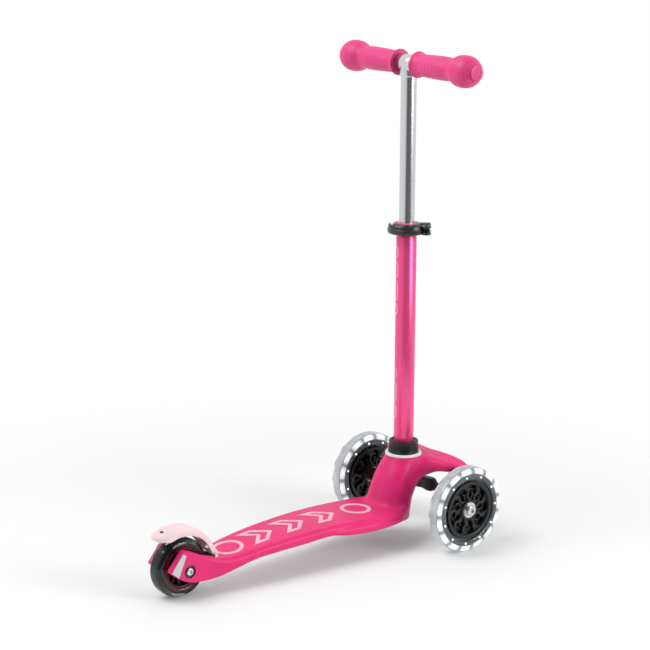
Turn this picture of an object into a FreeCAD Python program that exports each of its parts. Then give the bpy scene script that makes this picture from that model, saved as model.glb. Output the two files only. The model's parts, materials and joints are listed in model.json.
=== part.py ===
import FreeCAD, Part
import math
import os
import Sketcher

# A toddler's three-wheeled kick scooter that steers by leaning. Millimetres, +X forward, +Y to the
# rider's left, +Z up, origin on the floor at the middle of the overall length and width.

V = FreeCAD.Vector
X_AXIS = V(1, 0, 0)
Y_AXIS = V(0, 1, 0)
Z_AXIS = V(0, 0, 1)
SIDES = {"left": 1, "right": -1}

SIZES = {
    # stance
    "rear_axle_x": -216, "front_axle_x": 196, "steerer_x": 173.5, "front_track_half": 103.4,
    # front wheels
    "front_radius": 60, "front_half_width": 12, "front_bed_radius": 44, "front_rim_radius": 41,
    "front_rim_inner": 35, "front_edge_round": 9,
    # rear wheel
    "rear_radius": 40, "rear_half_width": 12, "rear_bed_radius": 27, "rear_rim_inner": 22,
    "rear_edge_round": 9,
    # wheel parts that both sizes share
    "hub_radius": 14, "hub_half_width": 10.5, "web_half": 2, "bearing_outer": 11,
    "bearing_bore": 4.05, "bearing_width": 7, "axle_radius": 4, "axle_head_radius": 7.5,
    "axle_head": 3.5, "light_half_width": 6,
    # fork arms and deck
    "fork_inner": 16, "fork_outer": 27, "axle_cup_radius": 9, "axle_cup_depth": 3,
    "deck_wall_top": 50, "land_height": 36.6, "rib_pitch": 32, "bay_long": 27, "bay_half": 17,
    "inlay_height": 0.8, "tread_half_width": 22, "tread_stroke": 5.5,
    # neck, bridge and steering
    "neck_top": 119, "ring_height": 3, "ring_radius": 25.5, "collar_height": 17,
    "collar_low_radius": 21.7, "collar_top_radius": 20.3, "socket_floor": 80,
    "pivot_x": 204, "pivot_y": 70, "pivot_z": 94, "link_x": 208, "link_z": 62,
    "knuckle_radius": 9, "knuckle_half": 11, "link_eye_radius": 7, "link_eye_half": 6,
    "kingpin_radius": 3, "kingpin_head": 6, "pin_fit": 0.05, "bar_thick": 6,
    # T-bar
    "lower_radius": 14, "lower_wall": 1.5, "lower_top": 446, "upper_radius": 10.75,
    "upper_wall": 1.25, "upper_foot": 345, "bar_z": 666.4, "crossbar_radius": 9.5,
    "crossbar_half": 126, "tee_radius": 12.4, "bush_low": 396,
    # grips
    "grip_radius": 16, "grip_bore": 9.55, "knob_radius": 21.6, "knob_y": 112.1,
    "flange_radius": 18, "grip_start": 17.5, "plug_radius": 11,
    # clamp
    "clamp_low": 434, "clamp_height": 14, "clamp_radius": 19.5, "clamp_lug_far": 33,
    "clamp_lug_half": 6, "clamp_slit": 1, "clamp_bolt_x": 26, "clamp_pin_y": -14,
    "clamp_turn": -39.5, "lever_inner": 20.6, "lever_outer": 26.6, "lever_eye": 7,
    "lever_inset": 0.5,
    # brake
    "brake_pivot_x": -170, "brake_pivot_z": 50, "brake_half": 15.4, "brake_inner_half": 12.9,
    "brake_crown": 56, "brake_roof": 53, "brake_skirt": 40, "brake_tail": -256,
    "brake_sweep": 112, "brake_end": 128,
    "brake_plate_low": 44.8, "brake_plate_high": 46.3, "brake_pin_radius": 2.5,
    "rivet_x": -240, "rivet_radius": 2, "rivet_head": 4, "rivet_seat_z": 91.2,
}

# Stations along the deck board: x, half width, underside, top, edge rounding.
BOARD = (
    (-170, 28.5, 21.8, 46, 5), (-143, 34.5, 28.5, 47, 6), (-103, 38.5, 37, 52.5, 6.5),
    (-48, 42.5, 40.5, 56, 7), (2, 45.5, 43, 57.5, 6.5), (52, 50.5, 38, 56, 7.5),
    (92, 54, 36, 54.5, 7.5), (127, 50.5, 36, 53, 7), (147, 42, 36.5, 52.5, 7), (164, 24, 37.5, 51, 6),
)
# Stations up the neck: z, rear, front, half width, corner rounding.
NECK = (
    (40, 121, 166, 33, 22), (60, 124, 176, 31, 22), (80, 131, 192, 28, 24),
    (100, 139.5, 198, 26.5, 25), (119, 148.2, 198.8, 25.3, 25),
)
# Stations across the bridge: y, rear, front, underside, top, rounding.
BRIDGE = (
    (-78, 211.5, 230, 101.5, 110.5, 4), (-55, 193, 232, 99, 115, 7),
    (-28, 186, 232, 91, 117.5, 11), (0, 175, 232, 88, 118.5, 12),
    (28, 186, 232, 91, 117.5, 11), (55, 193, 232, 99, 115, 7),
    (78, 211.5, 230, 101.5, 110.5, 4),
)
BOARD_KEYS = ("x", "half", "low", "top", "round")
NECK_KEYS = ("z", "rear", "front", "half", "round")
BRIDGE_KEYS = ("y", "rear", "front", "low", "top", "round")
FORK = (
    (-30.4, 43.9), (-17.3, 33.2), (-1.9, 25.2), (16, 21.8), (32, 21), (62, 25), (62, 45),
    (46, 49.2), (32, 53.6), (21, 57), (9.7, 62.5), (-3.6, 68.8), (-10, 68.4),
)
TREAD_RINGS = (-136, 86)
TREAD_ARROWS = (-107, -53, 1)
ARROW = ((0, -22), (24, -22), (46, 0), (24, 22), (0, 22), (20, 0))
REFLECTOR = ((-11.4, 66.4), (-5.9, 63.2), (-17.9, 35.3), (-28.9, 43.9))

doc = FreeCAD.newDocument("kick_scooter")


def fill_sheet():
    """The spreadsheet that drives the model: one row for each size, name and plain number."""
    cells = doc.addObject("Spreadsheet::Sheet", "Dims")
    rows = dict(SIZES)
    for word, stations, keys in (
        ("board", BOARD, BOARD_KEYS), ("neck", NECK, NECK_KEYS), ("bridge", BRIDGE, BRIDGE_KEYS),
    ):
        for number, station in enumerate(stations):
            for key, value in zip(keys, station):
                rows[f"{word}_{key}_{number}"] = value
    for line, (name, value) in enumerate(rows.items(), start=1):
        cells.set(f"A{line}", name)
        cells.set(f"B{line}", str(value))
        cells.setAlias(f"B{line}", name)
    doc.recompute()
    return cells


dims = fill_sheet()


def size(name):
    """A number from the sheet, for geometry that has to be placed by code."""
    return float(dims.get(name))


def bind(item, **expressions):
    """Ties properties of an object to expressions on the sheet; a double underscore is a dot."""
    for name, text in expressions.items():
        item.setExpression(name.replace("__", "."), with_sheet(text))
    return item


def with_sheet(text):
    """Puts 'Dims.' before each sheet name in an expression."""
    words = []
    for word in text.replace("(", " ( ").replace(")", " ) ").split():
        words.append(f"Dims.{word}" if dims.getCellFromAlias(word) else word)
    return " ".join(words)


def body(label):
    item = doc.addObject("PartDesign::Body", label)
    item.Label = label
    return item


def sketch(owner, name, role, offset="0"):
    """An empty sketch on one of the body's own origin planes, moved off it along its normal."""
    item = owner.newObject("Sketcher::SketchObject", f"{owner.Name}_{name}")
    plane = [p for p in owner.Origin.OriginFeatures if p.Role == role][0]
    item.AttachmentSupport = [(plane, "")]
    item.MapMode = "FlatFace"
    bind(item, AttachmentOffset__Base__z=offset)
    return item


def locate(item, geometry, point, x_text, y_text):
    """Fixes one point of a sketch by its two distances from the origin."""
    for kind, text in (("DistanceX", x_text), ("DistanceY", y_text)):
        index = item.addConstraint(Sketcher.Constraint(kind, -1, 1, geometry, point, 1.0))
        item.setExpression(f"Constraints[{index}]", with_sheet(text))


def outline(item, corners):
    """A closed outline of straight lines; each corner is a pair of expressions."""
    first = item.GeometryCount
    count = len(corners)
    ring = [V(10 * math.cos(6.28 * i / count), 10 * math.sin(6.28 * i / count), 0)
            for i in range(count)]
    for i in range(count):
        item.addGeometry(Part.LineSegment(ring[i], ring[(i + 1) % count]), False)
    for i in range(count):
        item.addConstraint(Sketcher.Constraint(
            "Coincident", first + i, 2, first + (i + 1) % count, 1))
    for i, (x_text, y_text) in enumerate(corners):
        locate(item, first + i, 1, str(x_text), str(y_text))


def box_corners(x_low, x_high, y_low, y_high):
    return [(x_low, y_low), (x_high, y_low), (x_high, y_high), (x_low, y_high)]


def circle(item, radius, x_text="0", y_text="0"):
    index = item.addGeometry(Part.Circle(V(1, 1, 0), Z_AXIS, 5), False)
    rule = item.addConstraint(Sketcher.Constraint("Radius", index, 5.0))
    item.setExpression(f"Constraints[{rule}]", with_sheet(radius))
    locate(item, index, 3, x_text, y_text)


def rounded(item, x_low, x_high, y_low, y_high, radius):
    """A rectangle with round corners. Every limit is a sheet name, or '-' and a sheet name."""
    values = [-size(n[1:]) if n[0] == "-" else size(n) for n in (x_low, x_high, y_low, y_high)]
    a, b, c, d = values
    r = size(radius)
    turn = math.pi / 2
    middles = ((b - r, c + r), (b - r, d - r), (a + r, d - r), (a + r, c + r))
    ends = ((V(a + r, c, 0), V(b - r, c, 0)), (V(b, c + r, 0), V(b, d - r, 0)),
            (V(b - r, d, 0), V(a + r, d, 0)), (V(a, d - r, 0), V(a, c + r, 0)))
    for i in range(4):
        item.addGeometry(Part.LineSegment(*ends[i]), False)
        disc = Part.Circle(V(*middles[i], 0), Z_AXIS, r)
        item.addGeometry(Part.ArcOfCircle(disc, (i - 1) * turn, i * turn), False)
    for i in range(8):
        line_first = i % 2 == 0
        item.addConstraint(Sketcher.Constraint(
            "Tangent", i, 2, (i + 1) % 8, 1))
        if line_first:
            way = "Horizontal" if i % 4 == 0 else "Vertical"
            item.addConstraint(Sketcher.Constraint(way, i))
    for i in (3, 5, 7):
        item.addConstraint(Sketcher.Constraint("Equal", 1, i))
    rule = item.addConstraint(Sketcher.Constraint("Radius", 1, r))
    item.setExpression(f"Constraints[{rule}]", with_sheet(radius))
    for kind, geometry, text, value in (
        ("DistanceX", 6, x_low, a), ("DistanceX", 2, x_high, b),
        ("DistanceY", 0, y_low, c), ("DistanceY", 4, y_high, d),
    ):
        rule = item.addConstraint(Sketcher.Constraint(kind, -1, 1, geometry, 1, value))
        signed = text.replace("-", "0 - ")
        item.setExpression(f"Constraints[{rule}]", with_sheet(signed))


def pad(owner, profile, length, midplane=False, back=False):
    item = owner.newObject("PartDesign::Pad", f"{profile.Name}_pad")
    item.Profile = profile
    bind(item, Length=length)
    item.Midplane = midplane
    item.Reversed = back
    return item


def pocket(owner, profile, length, midplane=False, back=False):
    """A cut that has to take material away; a cut that misses stops the script."""
    doc.recompute()
    before = owner.Shape.Volume
    item = owner.newObject("PartDesign::Pocket", f"{profile.Name}_cut")
    item.Profile = profile
    bind(item, Length=length)
    item.Midplane = midplane
    item.Reversed = back
    doc.recompute()
    if owner.Shape.Volume > before - 0.1:
        raise RuntimeError(f"{item.Name} cuts nothing")
    return item


def revolve(owner, profile, axis="V_Axis"):
    item = owner.newObject("PartDesign::Revolution", f"{profile.Name}_turn")
    item.Profile = profile
    item.ReferenceAxis = (profile, [axis])
    item.Angle = 360
    return item


def loft(owner, name, profiles):
    item = owner.newObject("PartDesign::AdditiveLoft", f"{owner.Name}_{name}")
    item.Profile = profiles[0]
    item.Sections = profiles[1:]
    item.Ruled = False
    return item


def fillet(owner, radius, chosen):
    """Rounds the edges of the body's tip for which chosen(edge) is true."""
    doc.recompute()
    tip = owner.Tip
    names = [f"Edge{i}" for i, e in enumerate(tip.Shape.Edges, start=1) if chosen(e)]
    item = owner.newObject("PartDesign::Fillet", f"{tip.Name}_round")
    item.Base = (tip, names)
    bind(item, Radius=radius)
    doc.recompute()
    return item


def repeat(owner, feature, turns, axis_role):
    """Repeats a feature in equal turns about one of the body's own axes."""
    item = owner.newObject("PartDesign::PolarPattern", f"{feature.Name}_ring")
    item.Originals = [feature]
    axis = [a for a in owner.Origin.OriginFeatures if a.Role == axis_role][0]
    item.Axis = (axis, [""])
    item.Angle = 360
    item.Occurrences = turns
    owner.Tip = item
    return item


def cylinder(label, radius, length, base, direction):
    """A Part cylinder from a base point along a direction; base holds three expressions."""
    item = doc.addObject("Part::Cylinder", label)
    item.Label = label
    bind(item, Radius=radius, Height=length)
    item.Placement.Rotation = FreeCAD.Rotation(Z_AXIS, direction)
    bind(item, Placement__Base__x=base[0], Placement__Base__y=base[1], Placement__Base__z=base[2])
    return item


def block(label, x_span, y_span, z_span):
    """A Part box between pairs of expressions."""
    item = doc.addObject("Part::Box", label)
    item.Label = label
    for side, place, (low, high) in (
        ("Length", "x", x_span), ("Width", "y", y_span), ("Height", "z", z_span),
    ):
        bind(item, **{side: f"( {high} ) - ( {low} )", f"Placement__Base__{place}": low})
    return item


def join(label, shapes):
    item = doc.addObject("Part::MultiFuse", label)
    item.Label = label
    item.Shapes = shapes
    return item


def cut(label, base, tools):
    """The base less the tools, which are joined first if there are several."""
    item = doc.addObject("Part::Cut", label)
    item.Label = label
    item.Base = base
    item.Tool = tools[0] if len(tools) == 1 else join(f"{label}_tools", tools)
    return item


def group(label, shapes):
    item = doc.addObject("Part::Compound", label)
    item.Label = label
    item.Links = shapes
    return item


def place(item, x="0", y="0", z="0", rotation=None):
    if rotation:
        item.Placement.Rotation = rotation
    bind(item, Placement__Base__x=x, Placement__Base__y=y, Placement__Base__z=z)
    return item


LEAN_AXIS = V(1, 0, 1).normalize()      # steering pivots slope forwards and up at 45 degrees
ALONG = LEAN_AXIS.x                     # share of a length along the pivot that runs along X or Z
TURN_TO_Y = FreeCAD.Rotation(X_AXIS, -90)
nodes = []


def keep(item, label):
    """Marks a finished sub-part: its label is the name of its file."""
    item.Label = label
    nodes.append(item)
    return item


# ---------------------------------------------------------------- deck, neck and bridge

def board(label, lift="0"):
    """The standing board: one smooth loft through rounded sections."""
    item = body(label)
    sections = []
    for n in range(len(BOARD)):
        section = sketch(item, f"station{n}", "YZ_Plane", f"board_x_{n}")
        rounded(section, f"-board_half_{n}", f"board_half_{n}",
                f"board_low_{n}", f"board_top_{n}", f"board_round_{n}")
        sections.append(section)
    loft(item, "loft", sections)
    place(item, z=lift)
    return item


def ribbed_board():
    """The board with two rows of open bays moulded into its underside."""
    item = board("board")
    bays = sketch(item, "bays", "XY_Plane", "20")
    for side in ("0 - bay_half", "bay_half"):
        near, far = f"( {side} ) / 8", f"( {side} ) * 1.55"
        outline(bays, box_corners("-81", "bay_long - 81", near, far))
    well = pocket(item, bays, "deck_wall_top - 20", back=True)
    row = item.newObject("PartDesign::LinearPattern", "bay_row")
    row.Originals = [well]
    axis = [a for a in item.Origin.OriginFeatures if a.Role == "X_Axis"][0]
    row.Direction = (axis, [""])
    row.Occurrences = 6
    bind(row, Length="rib_pitch * 5")
    item.Tip = row
    return item


def neck():
    """The stem that rises from the board's front and carries the T-bar."""
    item = body("neck")
    sections = []
    for n in range(len(NECK)):
        section = sketch(item, f"station{n}", "XY_Plane", f"neck_z_{n}")
        rounded(section, f"neck_rear_{n}", f"neck_front_{n}",
                f"-neck_half_{n}", f"neck_half_{n}", f"neck_round_{n}")
        sections.append(section)
    loft(item, "loft", sections)
    return item


def bridge():
    """The arch from wheel to wheel. An XZ sketch faces -Y, so it stands at y when moved by -y."""
    item = body("bridge")
    sections = []
    for n in range(len(BRIDGE)):
        section = sketch(item, f"station{n}", "XZ_Plane", f"0 - bridge_y_{n}")
        rounded(section, f"bridge_rear_{n}", f"bridge_front_{n}",
                f"bridge_low_{n}", f"bridge_top_{n}", f"bridge_round_{n}")
        sections.append(section)
    loft(item, "loft", sections)
    return item


def fork_arm(side, sign):
    """One cheek of the rear wheel's fork, drawn from the side and given its thickness."""
    item = body(f"fork_{side}")
    cheek = sketch(item, "cheek", "XZ_Plane", "0 - fork_inner" if sign > 0 else "fork_outer")
    outline(cheek, [(f"rear_axle_x + {x}" if x >= 0 else f"rear_axle_x - {-x}", z)
                    for x, z in FORK])
    pad(item, cheek, "fork_outer - fork_inner", back=True)
    return item


def deck():
    solid = [ribbed_board(), neck(), bridge()]
    solid += [fork_arm(side, sign) for side, sign in SIDES.items()]
    tools = [
        block("wheel_slot", ("0 - 400", "rear_axle_x + 47"), ("0 - fork_inner", "fork_inner"),
              ("0", "100")),
        cylinder("brake_room", "8.5", "fork_inner * 2",
                 ("brake_pivot_x", "0 - fork_inner", "brake_pivot_z"), Y_AXIS),
        block("brake_mouth", ("rear_axle_x", "brake_pivot_x + 8.5"),
              ("0 - fork_inner", "fork_inner"), ("brake_pivot_z", "100")),
        cylinder("brake_pin_hole", "brake_pin_radius", "46",
                 ("brake_pivot_x", "0 - 23", "brake_pivot_z"), Y_AXIS),
        cylinder("rear_axle_hole", "axle_radius", "80", ("rear_axle_x", "0 - 40", "rear_radius"),
                 Y_AXIS),
        cylinder("steerer_hole", "lower_radius + 0.05", "200",
                 ("steerer_x", "0", "socket_floor"), Z_AXIS),
        cylinder("ring_seat", "ring_radius + 0.05", "60", ("steerer_x", "0", "neck_top"), Z_AXIS),
    ]
    tools.append(block("underside_land", ("45", "128"), ("0 - 60", "60"), ("0", "land_height")))
    for side, sign in SIDES.items():
        start = "fork_outer - axle_cup_depth" if sign > 0 else "0 - fork_outer - 10"
        tools.append(cylinder(f"axle_seat_{side}", "axle_cup_radius", "axle_cup_depth + 10",
                              ("rear_axle_x", start, "rear_radius"), Y_AXIS))
        across = "pivot_y" if sign > 0 else "0 - pivot_y"
        tools.append(cylinder(
            f"knuckle_room_{side}", "knuckle_radius + 0.8", "knuckle_half + 40.4",
            (f"pivot_x - 40 * {ALONG}", across, f"pivot_z - 40 * {ALONG}"), LEAN_AXIS))
        tools.append(cylinder(
            f"kingpin_seat_{side}", "kingpin_radius", "60",
            (f"pivot_x - 40 * {ALONG}", across, f"pivot_z - 40 * {ALONG}"), LEAN_AXIS))
    whole = join("deck_solid", solid)
    keep(cut("deck_cut", whole, tools), "deck")


def inset(corners, width):
    """The outline that runs inside a closed anticlockwise outline at a fixed distance."""
    inner = []
    for before, here, after in zip(corners[-1:] + corners, corners, corners[1:] + corners[:1]):
        arrive = (V(*here) - V(*before)).normalize()
        leave = (V(*after) - V(*here)).normalize()
        across = V(-arrive.y - leave.y, arrive.x + leave.x)
        reach = width * 2 / across.dot(across)
        inner.append((here[0] + across.x * reach, here[1] + across.y * reach))
    return inner


def inlays():
    """Raised soft-touch outlines on the board, two rings and three arrows, standing proud of it."""
    skin = cut("inlay_skin", board("raised_board", "inlay_height"), [board("board_copy")])
    treads = body("tread_outlines")
    plan = sketch(treads, "plan", "XY_Plane", "40")
    for middle in TREAD_RINGS:
        circle(plan, "tread_half_width", str(middle))
        circle(plan, "tread_half_width - tread_stroke", str(middle))
    for start in TREAD_ARROWS:
        arrow = [(start + x, y) for x, y in ARROW]
        for corners in (arrow, inset(arrow, size("tread_stroke"))):
            outline(plan, [(str(x), str(y)) for x, y in corners])
    pad(treads, plan, "30")
    both = doc.addObject("Part::Common", "inlay_common")
    both.Base = skin
    both.Tool = treads
    keep(both, "deck_treads")


# ---------------------------------------------------------------- turned parts on the steerer

def turned(label, corners, x="0", y="0", z="0", along_y=False):
    """A turned part: a half section of (radius, height) corners spun about its own axis."""
    item = body(label)
    half = sketch(item, "section", "XZ_Plane")
    outline(half, corners)
    revolve(item, half)
    place(item, x, y, z, TURN_TO_Y if along_y else None)
    return item


def steerer_parts():
    ring = turned("ring", box_corners("lower_radius + 0.05", "ring_radius", "0", "ring_height"),
                  "steerer_x", "0", "neck_top")
    keep(ring, "collar_ring")
    collar = turned("collar", [
        ("lower_radius + 0.05", "0"), ("collar_low_radius", "0"), ("collar_low_radius", "3"),
        ("collar_top_radius", "collar_height - 1.5"),
        ("collar_top_radius - 1.5", "collar_height"), ("lower_radius + 0.05", "collar_height"),
    ], "steerer_x", "0", "neck_top + ring_height")
    keep(collar, "steerer_collar")
    tube = turned("tube", box_corners("lower_radius - lower_wall", "lower_radius",
                                      "socket_floor", "lower_top"), "steerer_x")
    keep(tube, "lower_tube")
    inner = "lower_radius - lower_wall - 0.1"
    bush = turned("bush", [
        ("upper_radius + 0.05", "bush_low"), (inner, "bush_low"), (inner, "lower_top"),
        ("lower_radius", "lower_top"), ("lower_radius - 0.6", "lower_top + 3"),
        ("upper_radius + 0.05", "lower_top + 3"),
    ], "steerer_x")
    keep(bush, "guide_bush")


def upper_bar():
    upper = turned("upper", box_corners("upper_radius - upper_wall", "upper_radius",
                                        "upper_foot", "bar_z - crossbar_radius - 0.5"),
                   "steerer_x")
    keep(upper, "upper_tube")
    foot = turned("foot", [
        ("0", "upper_foot - 4"), ("upper_radius + 0.6", "upper_foot - 4"),
        ("upper_radius + 1.4", "upper_foot - 2.5"), ("upper_radius + 1.4", "upper_foot"),
        ("upper_radius - upper_wall", "upper_foot"),
        ("upper_radius - upper_wall", "upper_foot + 18"), ("0", "upper_foot + 18"),
    ], "steerer_x")
    keep(foot, "upper_tube_foot")
    across = cylinder("across", "crossbar_radius", "crossbar_half * 2",
                      ("steerer_x", "0 - crossbar_half", "bar_z"), Y_AXIS)
    hub = cylinder("tee_hub", "tee_radius", "34", ("steerer_x", "0 - 17", "bar_z"), Y_AXIS)
    skirt = cylinder("tee_skirt", "tee_radius", "24", ("steerer_x", "0", "bar_z - 24"), Z_AXIS)
    bore = cylinder("tee_bore", "upper_radius", "24 - crossbar_radius - 0.5",
                    ("steerer_x", "0", "bar_z - 24"), Z_AXIS)
    inside = cylinder("across_bore", "crossbar_radius - 1.5", "crossbar_half * 2 + 2",
                      ("steerer_x", "0 - crossbar_half - 1", "bar_z"), Y_AXIS)
    solid = join("crossbar_solid", [across, hub, skirt])
    keep(cut("crossbar_cut", solid, [bore, inside]), "crossbar")


def grips():
    """Rubber grips that end in a ball; each is turned about the bar, and closed by a plug."""
    for side, sign in SIDES.items():
        profile = [
            ("grip_bore", "grip_start"), ("flange_radius", "grip_start"),
            ("flange_radius", "grip_start + 2.5"), ("grip_radius - 1.2", "grip_start + 5"),
            ("grip_radius", "grip_start + 14"), ("grip_radius + 0.6", "58"),
            ("grip_radius", "84"), ("grip_radius - 1.4", "knob_y - 19"),
            ("grip_radius + 1.5", "knob_y - 15.5"), ("knob_radius - 1.6", "knob_y - 8"),
            ("knob_radius", "knob_y"), ("knob_radius - 1.8", "knob_y + 9"),
            ("knob_radius - 6", "knob_y + 17.5"), ("plug_radius", "knob_y + 20.5"),
            ("plug_radius", "crossbar_half + 0.2"), ("grip_bore", "crossbar_half + 0.2"),
        ]
        spin = TURN_TO_Y if sign > 0 else FreeCAD.Rotation(X_AXIS, 90)
        grip = turned(f"grip_{side}", profile, "steerer_x", "0", "bar_z")
        grip.Placement.Rotation = spin
        keep(grip, f"{side}_grip")
        plug = turned(f"plug_{side}", [
            ("0", "crossbar_half + 0.3"), ("plug_radius - 0.1", "crossbar_half + 0.3"),
            ("plug_radius - 0.1", "knob_y + 20"), ("plug_radius - 1.5", "knob_y + 21.6"),
            ("0", "knob_y + 21.6"),
        ], "steerer_x", "0", "bar_z")
        plug.Placement.Rotation = spin
        keep(plug, f"{side}_bar_plug")


# ---------------------------------------------------------------- quick-release clamp

def clamp():
    """Drawn with its slit along local X, then turned about the steerer as one."""
    turn = FreeCAD.Rotation(Z_AXIS, size("clamp_turn"))

    def settle(item, label):
        holder = doc.addObject("Part::Compound", f"{label}_placed")
        holder.Links = [item]
        place(holder, "steerer_x", "0", "0", turn)
        keep(holder, label)

    hoop = cylinder("hoop", "clamp_radius", "clamp_height", ("0", "0", "clamp_low"), Z_AXIS)
    lugs = block("lugs", ("12", "clamp_lug_far"), ("0 - clamp_lug_half", "clamp_lug_half"),
                 ("clamp_low", "clamp_low + clamp_height"))
    tools = [
        cylinder("hoop_bore", "lower_radius + 0.05", "40", ("0", "0", "clamp_low - 10"), Z_AXIS),
        block("slit", ("0", "60"), ("0 - clamp_slit", "clamp_slit"),
              ("clamp_low - 10", "clamp_low + 30")),
        cylinder("bolt_way", "3", "60", ("clamp_bolt_x", "0 - 30", "clamp_low + clamp_height / 2"),
                 Y_AXIS),
    ]
    settle(cut("clamp_collar_cut", join("clamp_solid", [hoop, lugs]), tools), "clamp_collar")

    shank = cylinder("eye_shank", "2.4", "21.5", ("clamp_bolt_x", "clamp_pin_y + 3.5",
                                                "clamp_low + clamp_height / 2"), Y_AXIS)
    eye = cylinder("eye_disc", "5", "5", ("clamp_bolt_x", "clamp_pin_y",
                                        "clamp_low + clamp_height / 2 - 2.5"), Z_AXIS)
    hole = cylinder("eye_hole", "2.5", "20", ("clamp_bolt_x", "clamp_pin_y", "clamp_low"), Z_AXIS)
    settle(cut("eye_cut", join("eye_solid", [shank, eye]), [hole]), "clamp_eye_bolt")
    nut = cylinder("nut_disc", "4.6", "5", ("clamp_bolt_x", "clamp_lug_half + 0.05",
                                          "clamp_low + clamp_height / 2"), Y_AXIS)
    nut_bore = cylinder("nut_bore", "2.5", "5", ("clamp_bolt_x", "clamp_lug_half + 0.05",
                                               "clamp_low + clamp_height / 2"), Y_AXIS)
    settle(cut("nut_cut", nut, [nut_bore]), "clamp_nut")
    pin = cylinder("hinge_pin", "2.5", "clamp_height", ("clamp_bolt_x", "clamp_pin_y",
                                                      "clamp_low"), Z_AXIS)
    settle(pin, "clamp_hinge_pin")

    lever = body("lever_band")
    band = sketch(lever, "band", "XY_Plane", "clamp_low + lever_inset")
    circle(band, "lever_outer")
    circle(band, "lever_inner")
    pad(lever, band, "clamp_height - 2 * lever_inset")
    gap = sketch(lever, "gap", "XY_Plane", "clamp_low - 1")
    outline(gap, [("0", "2"), ("24", "-14"), ("60", "-14"), ("60", "60"), ("-60", "60"),
                  ("-60", "9"), ("-20", "5")])
    pocket(lever, gap, "40", back=True)
    cam = cylinder("cam", "lever_eye", "clamp_height - 2 * lever_inset",
                   ("clamp_bolt_x", "clamp_pin_y", "clamp_low + lever_inset"), Z_AXIS)
    notch = block("notch", ("clamp_bolt_x - lever_eye - 1", "60"), ("-25", "10"),
                  ("clamp_low + clamp_height / 2 - 2.8", "clamp_low + clamp_height / 2 + 2.8"))
    pin_way = cylinder("pin_way", "2.5 + pin_fit", "40",
                       ("clamp_bolt_x", "clamp_pin_y", "clamp_low - 10"), Z_AXIS)
    settle(cut("lever_cut", join("lever_solid", [lever, cam]), [notch, pin_way]), "clamp_lever")


# ---------------------------------------------------------------- wheels

def tyre(word, label, x, y, z):
    item = body(f"{label}_body")
    half = sketch(item, "section", "XZ_Plane")
    outline(half, box_corners(f"{word}_bed_radius", f"{word}_radius",
                              f"0 - {word}_half_width", f"{word}_half_width"))
    revolve(item, half)
    rim = size(f"{word}_radius")
    fillet(item, f"{word}_edge_round", lambda e: abs(e.Length - 2 * math.pi * rim) < 0.5)
    place(item, x, y, z, TURN_TO_Y)
    keep(item, label)


def wheel_core(word, label, x, y, z, rim_outer, spokes, sweep):
    """Rim, hub and thin web turned in one, with swept spokes repeated round both faces."""
    item = body(f"{label}_body")
    half = sketch(item, "section", "XZ_Plane")
    wide = f"{word}_half_width - 0.6"
    outline(half, [
        ("bearing_outer", "0 - hub_half_width"), ("hub_radius", "0 - hub_half_width"),
        ("hub_radius", "0 - web_half"), (f"{word}_rim_inner", "0 - web_half"),
        (f"{word}_rim_inner", f"0 - ( {wide} )"), (rim_outer, f"0 - ( {wide} )"),
        (rim_outer, wide), (f"{word}_rim_inner", wide), (f"{word}_rim_inner", "web_half"),
        ("hub_radius", "web_half"), ("hub_radius", "hub_half_width"),
        ("bearing_outer", "hub_half_width"),
    ])
    revolve(item, half)
    spoke = sketch(item, "spoke", "XY_Plane")
    outline(spoke, [("12.5", "-1.3"), (f"{word}_rim_inner + 1", f"{sweep} - 1.3"),
                    (f"{word}_rim_inner + 1", f"{sweep} + 1.3"), ("12.5", "1.3")])
    rib = pad(item, spoke, "hub_half_width * 2 - 5", midplane=True)
    repeat(item, rib, spokes, "Z_Axis")
    place(item, x, y, z, TURN_TO_Y)
    keep(item, label)


def bearings(label, x, y, z):
    """Two sealed ball bearings, pressed into the ends of the hub."""
    pair = []
    for n, low in enumerate(("0 - hub_half_width", "hub_half_width - bearing_width")):
        pair.append(turned(f"{label}_{n}", box_corners(
            "bearing_bore", "bearing_outer", low, f"{low} + bearing_width"), x, y, z, True))
    keep(group(f"{label}_pair", pair), label)


def front_wheel(side, sign):
    x = "front_axle_x"
    y = "front_track_half" if sign > 0 else "0 - front_track_half"
    z = "front_radius"
    tyre("front", f"{side}_tyre", x, y, z)
    wheel_core("front", f"{side}_wheel_core", x, y, z, "front_rim_radius", 12, 9)
    lights = turned(f"{side}_lights", box_corners(
        "front_rim_radius", "front_bed_radius", "0 - light_half_width", "light_half_width"),
        x, y, z, True)
    keep(lights, f"{side}_light_ring")
    bearings(f"{side}_bearings", x, y, z)
    spin = TURN_TO_Y if sign > 0 else FreeCAD.Rotation(X_AXIS, 90)
    bolt = turned(f"{side}_bolt", [
        ("0", "70"), ("axle_radius", "70"), ("axle_radius", "front_track_half + hub_half_width + 1.6"),
        ("axle_head_radius", "front_track_half + hub_half_width + 1.6"),
        ("axle_head_radius", "front_track_half + hub_half_width + 1.6 + axle_head - 1"),
        ("axle_head_radius - 1", "front_track_half + hub_half_width + 1.6 + axle_head"),
        ("0", "front_track_half + hub_half_width + 1.6 + axle_head"),
    ], x, "0", z)
    bolt.Placement.Rotation = spin
    keep(bolt, f"{side}_axle_bolt")
    washer = turned(f"{side}_washer", box_corners(
        "axle_radius + 0.05", "9.5", "front_track_half + hub_half_width + 0.3",
        "front_track_half + hub_half_width + 1.5"), x, "0", z)
    washer.Placement.Rotation = spin
    keep(washer, f"{side}_axle_washer")
    magnet = turned(f"{side}_magnet", box_corners(
        "axle_radius + 0.05", "10.5", "89.3", "front_track_half - hub_half_width - 0.4"), x, "0", z)
    magnet.Placement.Rotation = spin
    keep(magnet, f"{side}_dynamo_ring")


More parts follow.
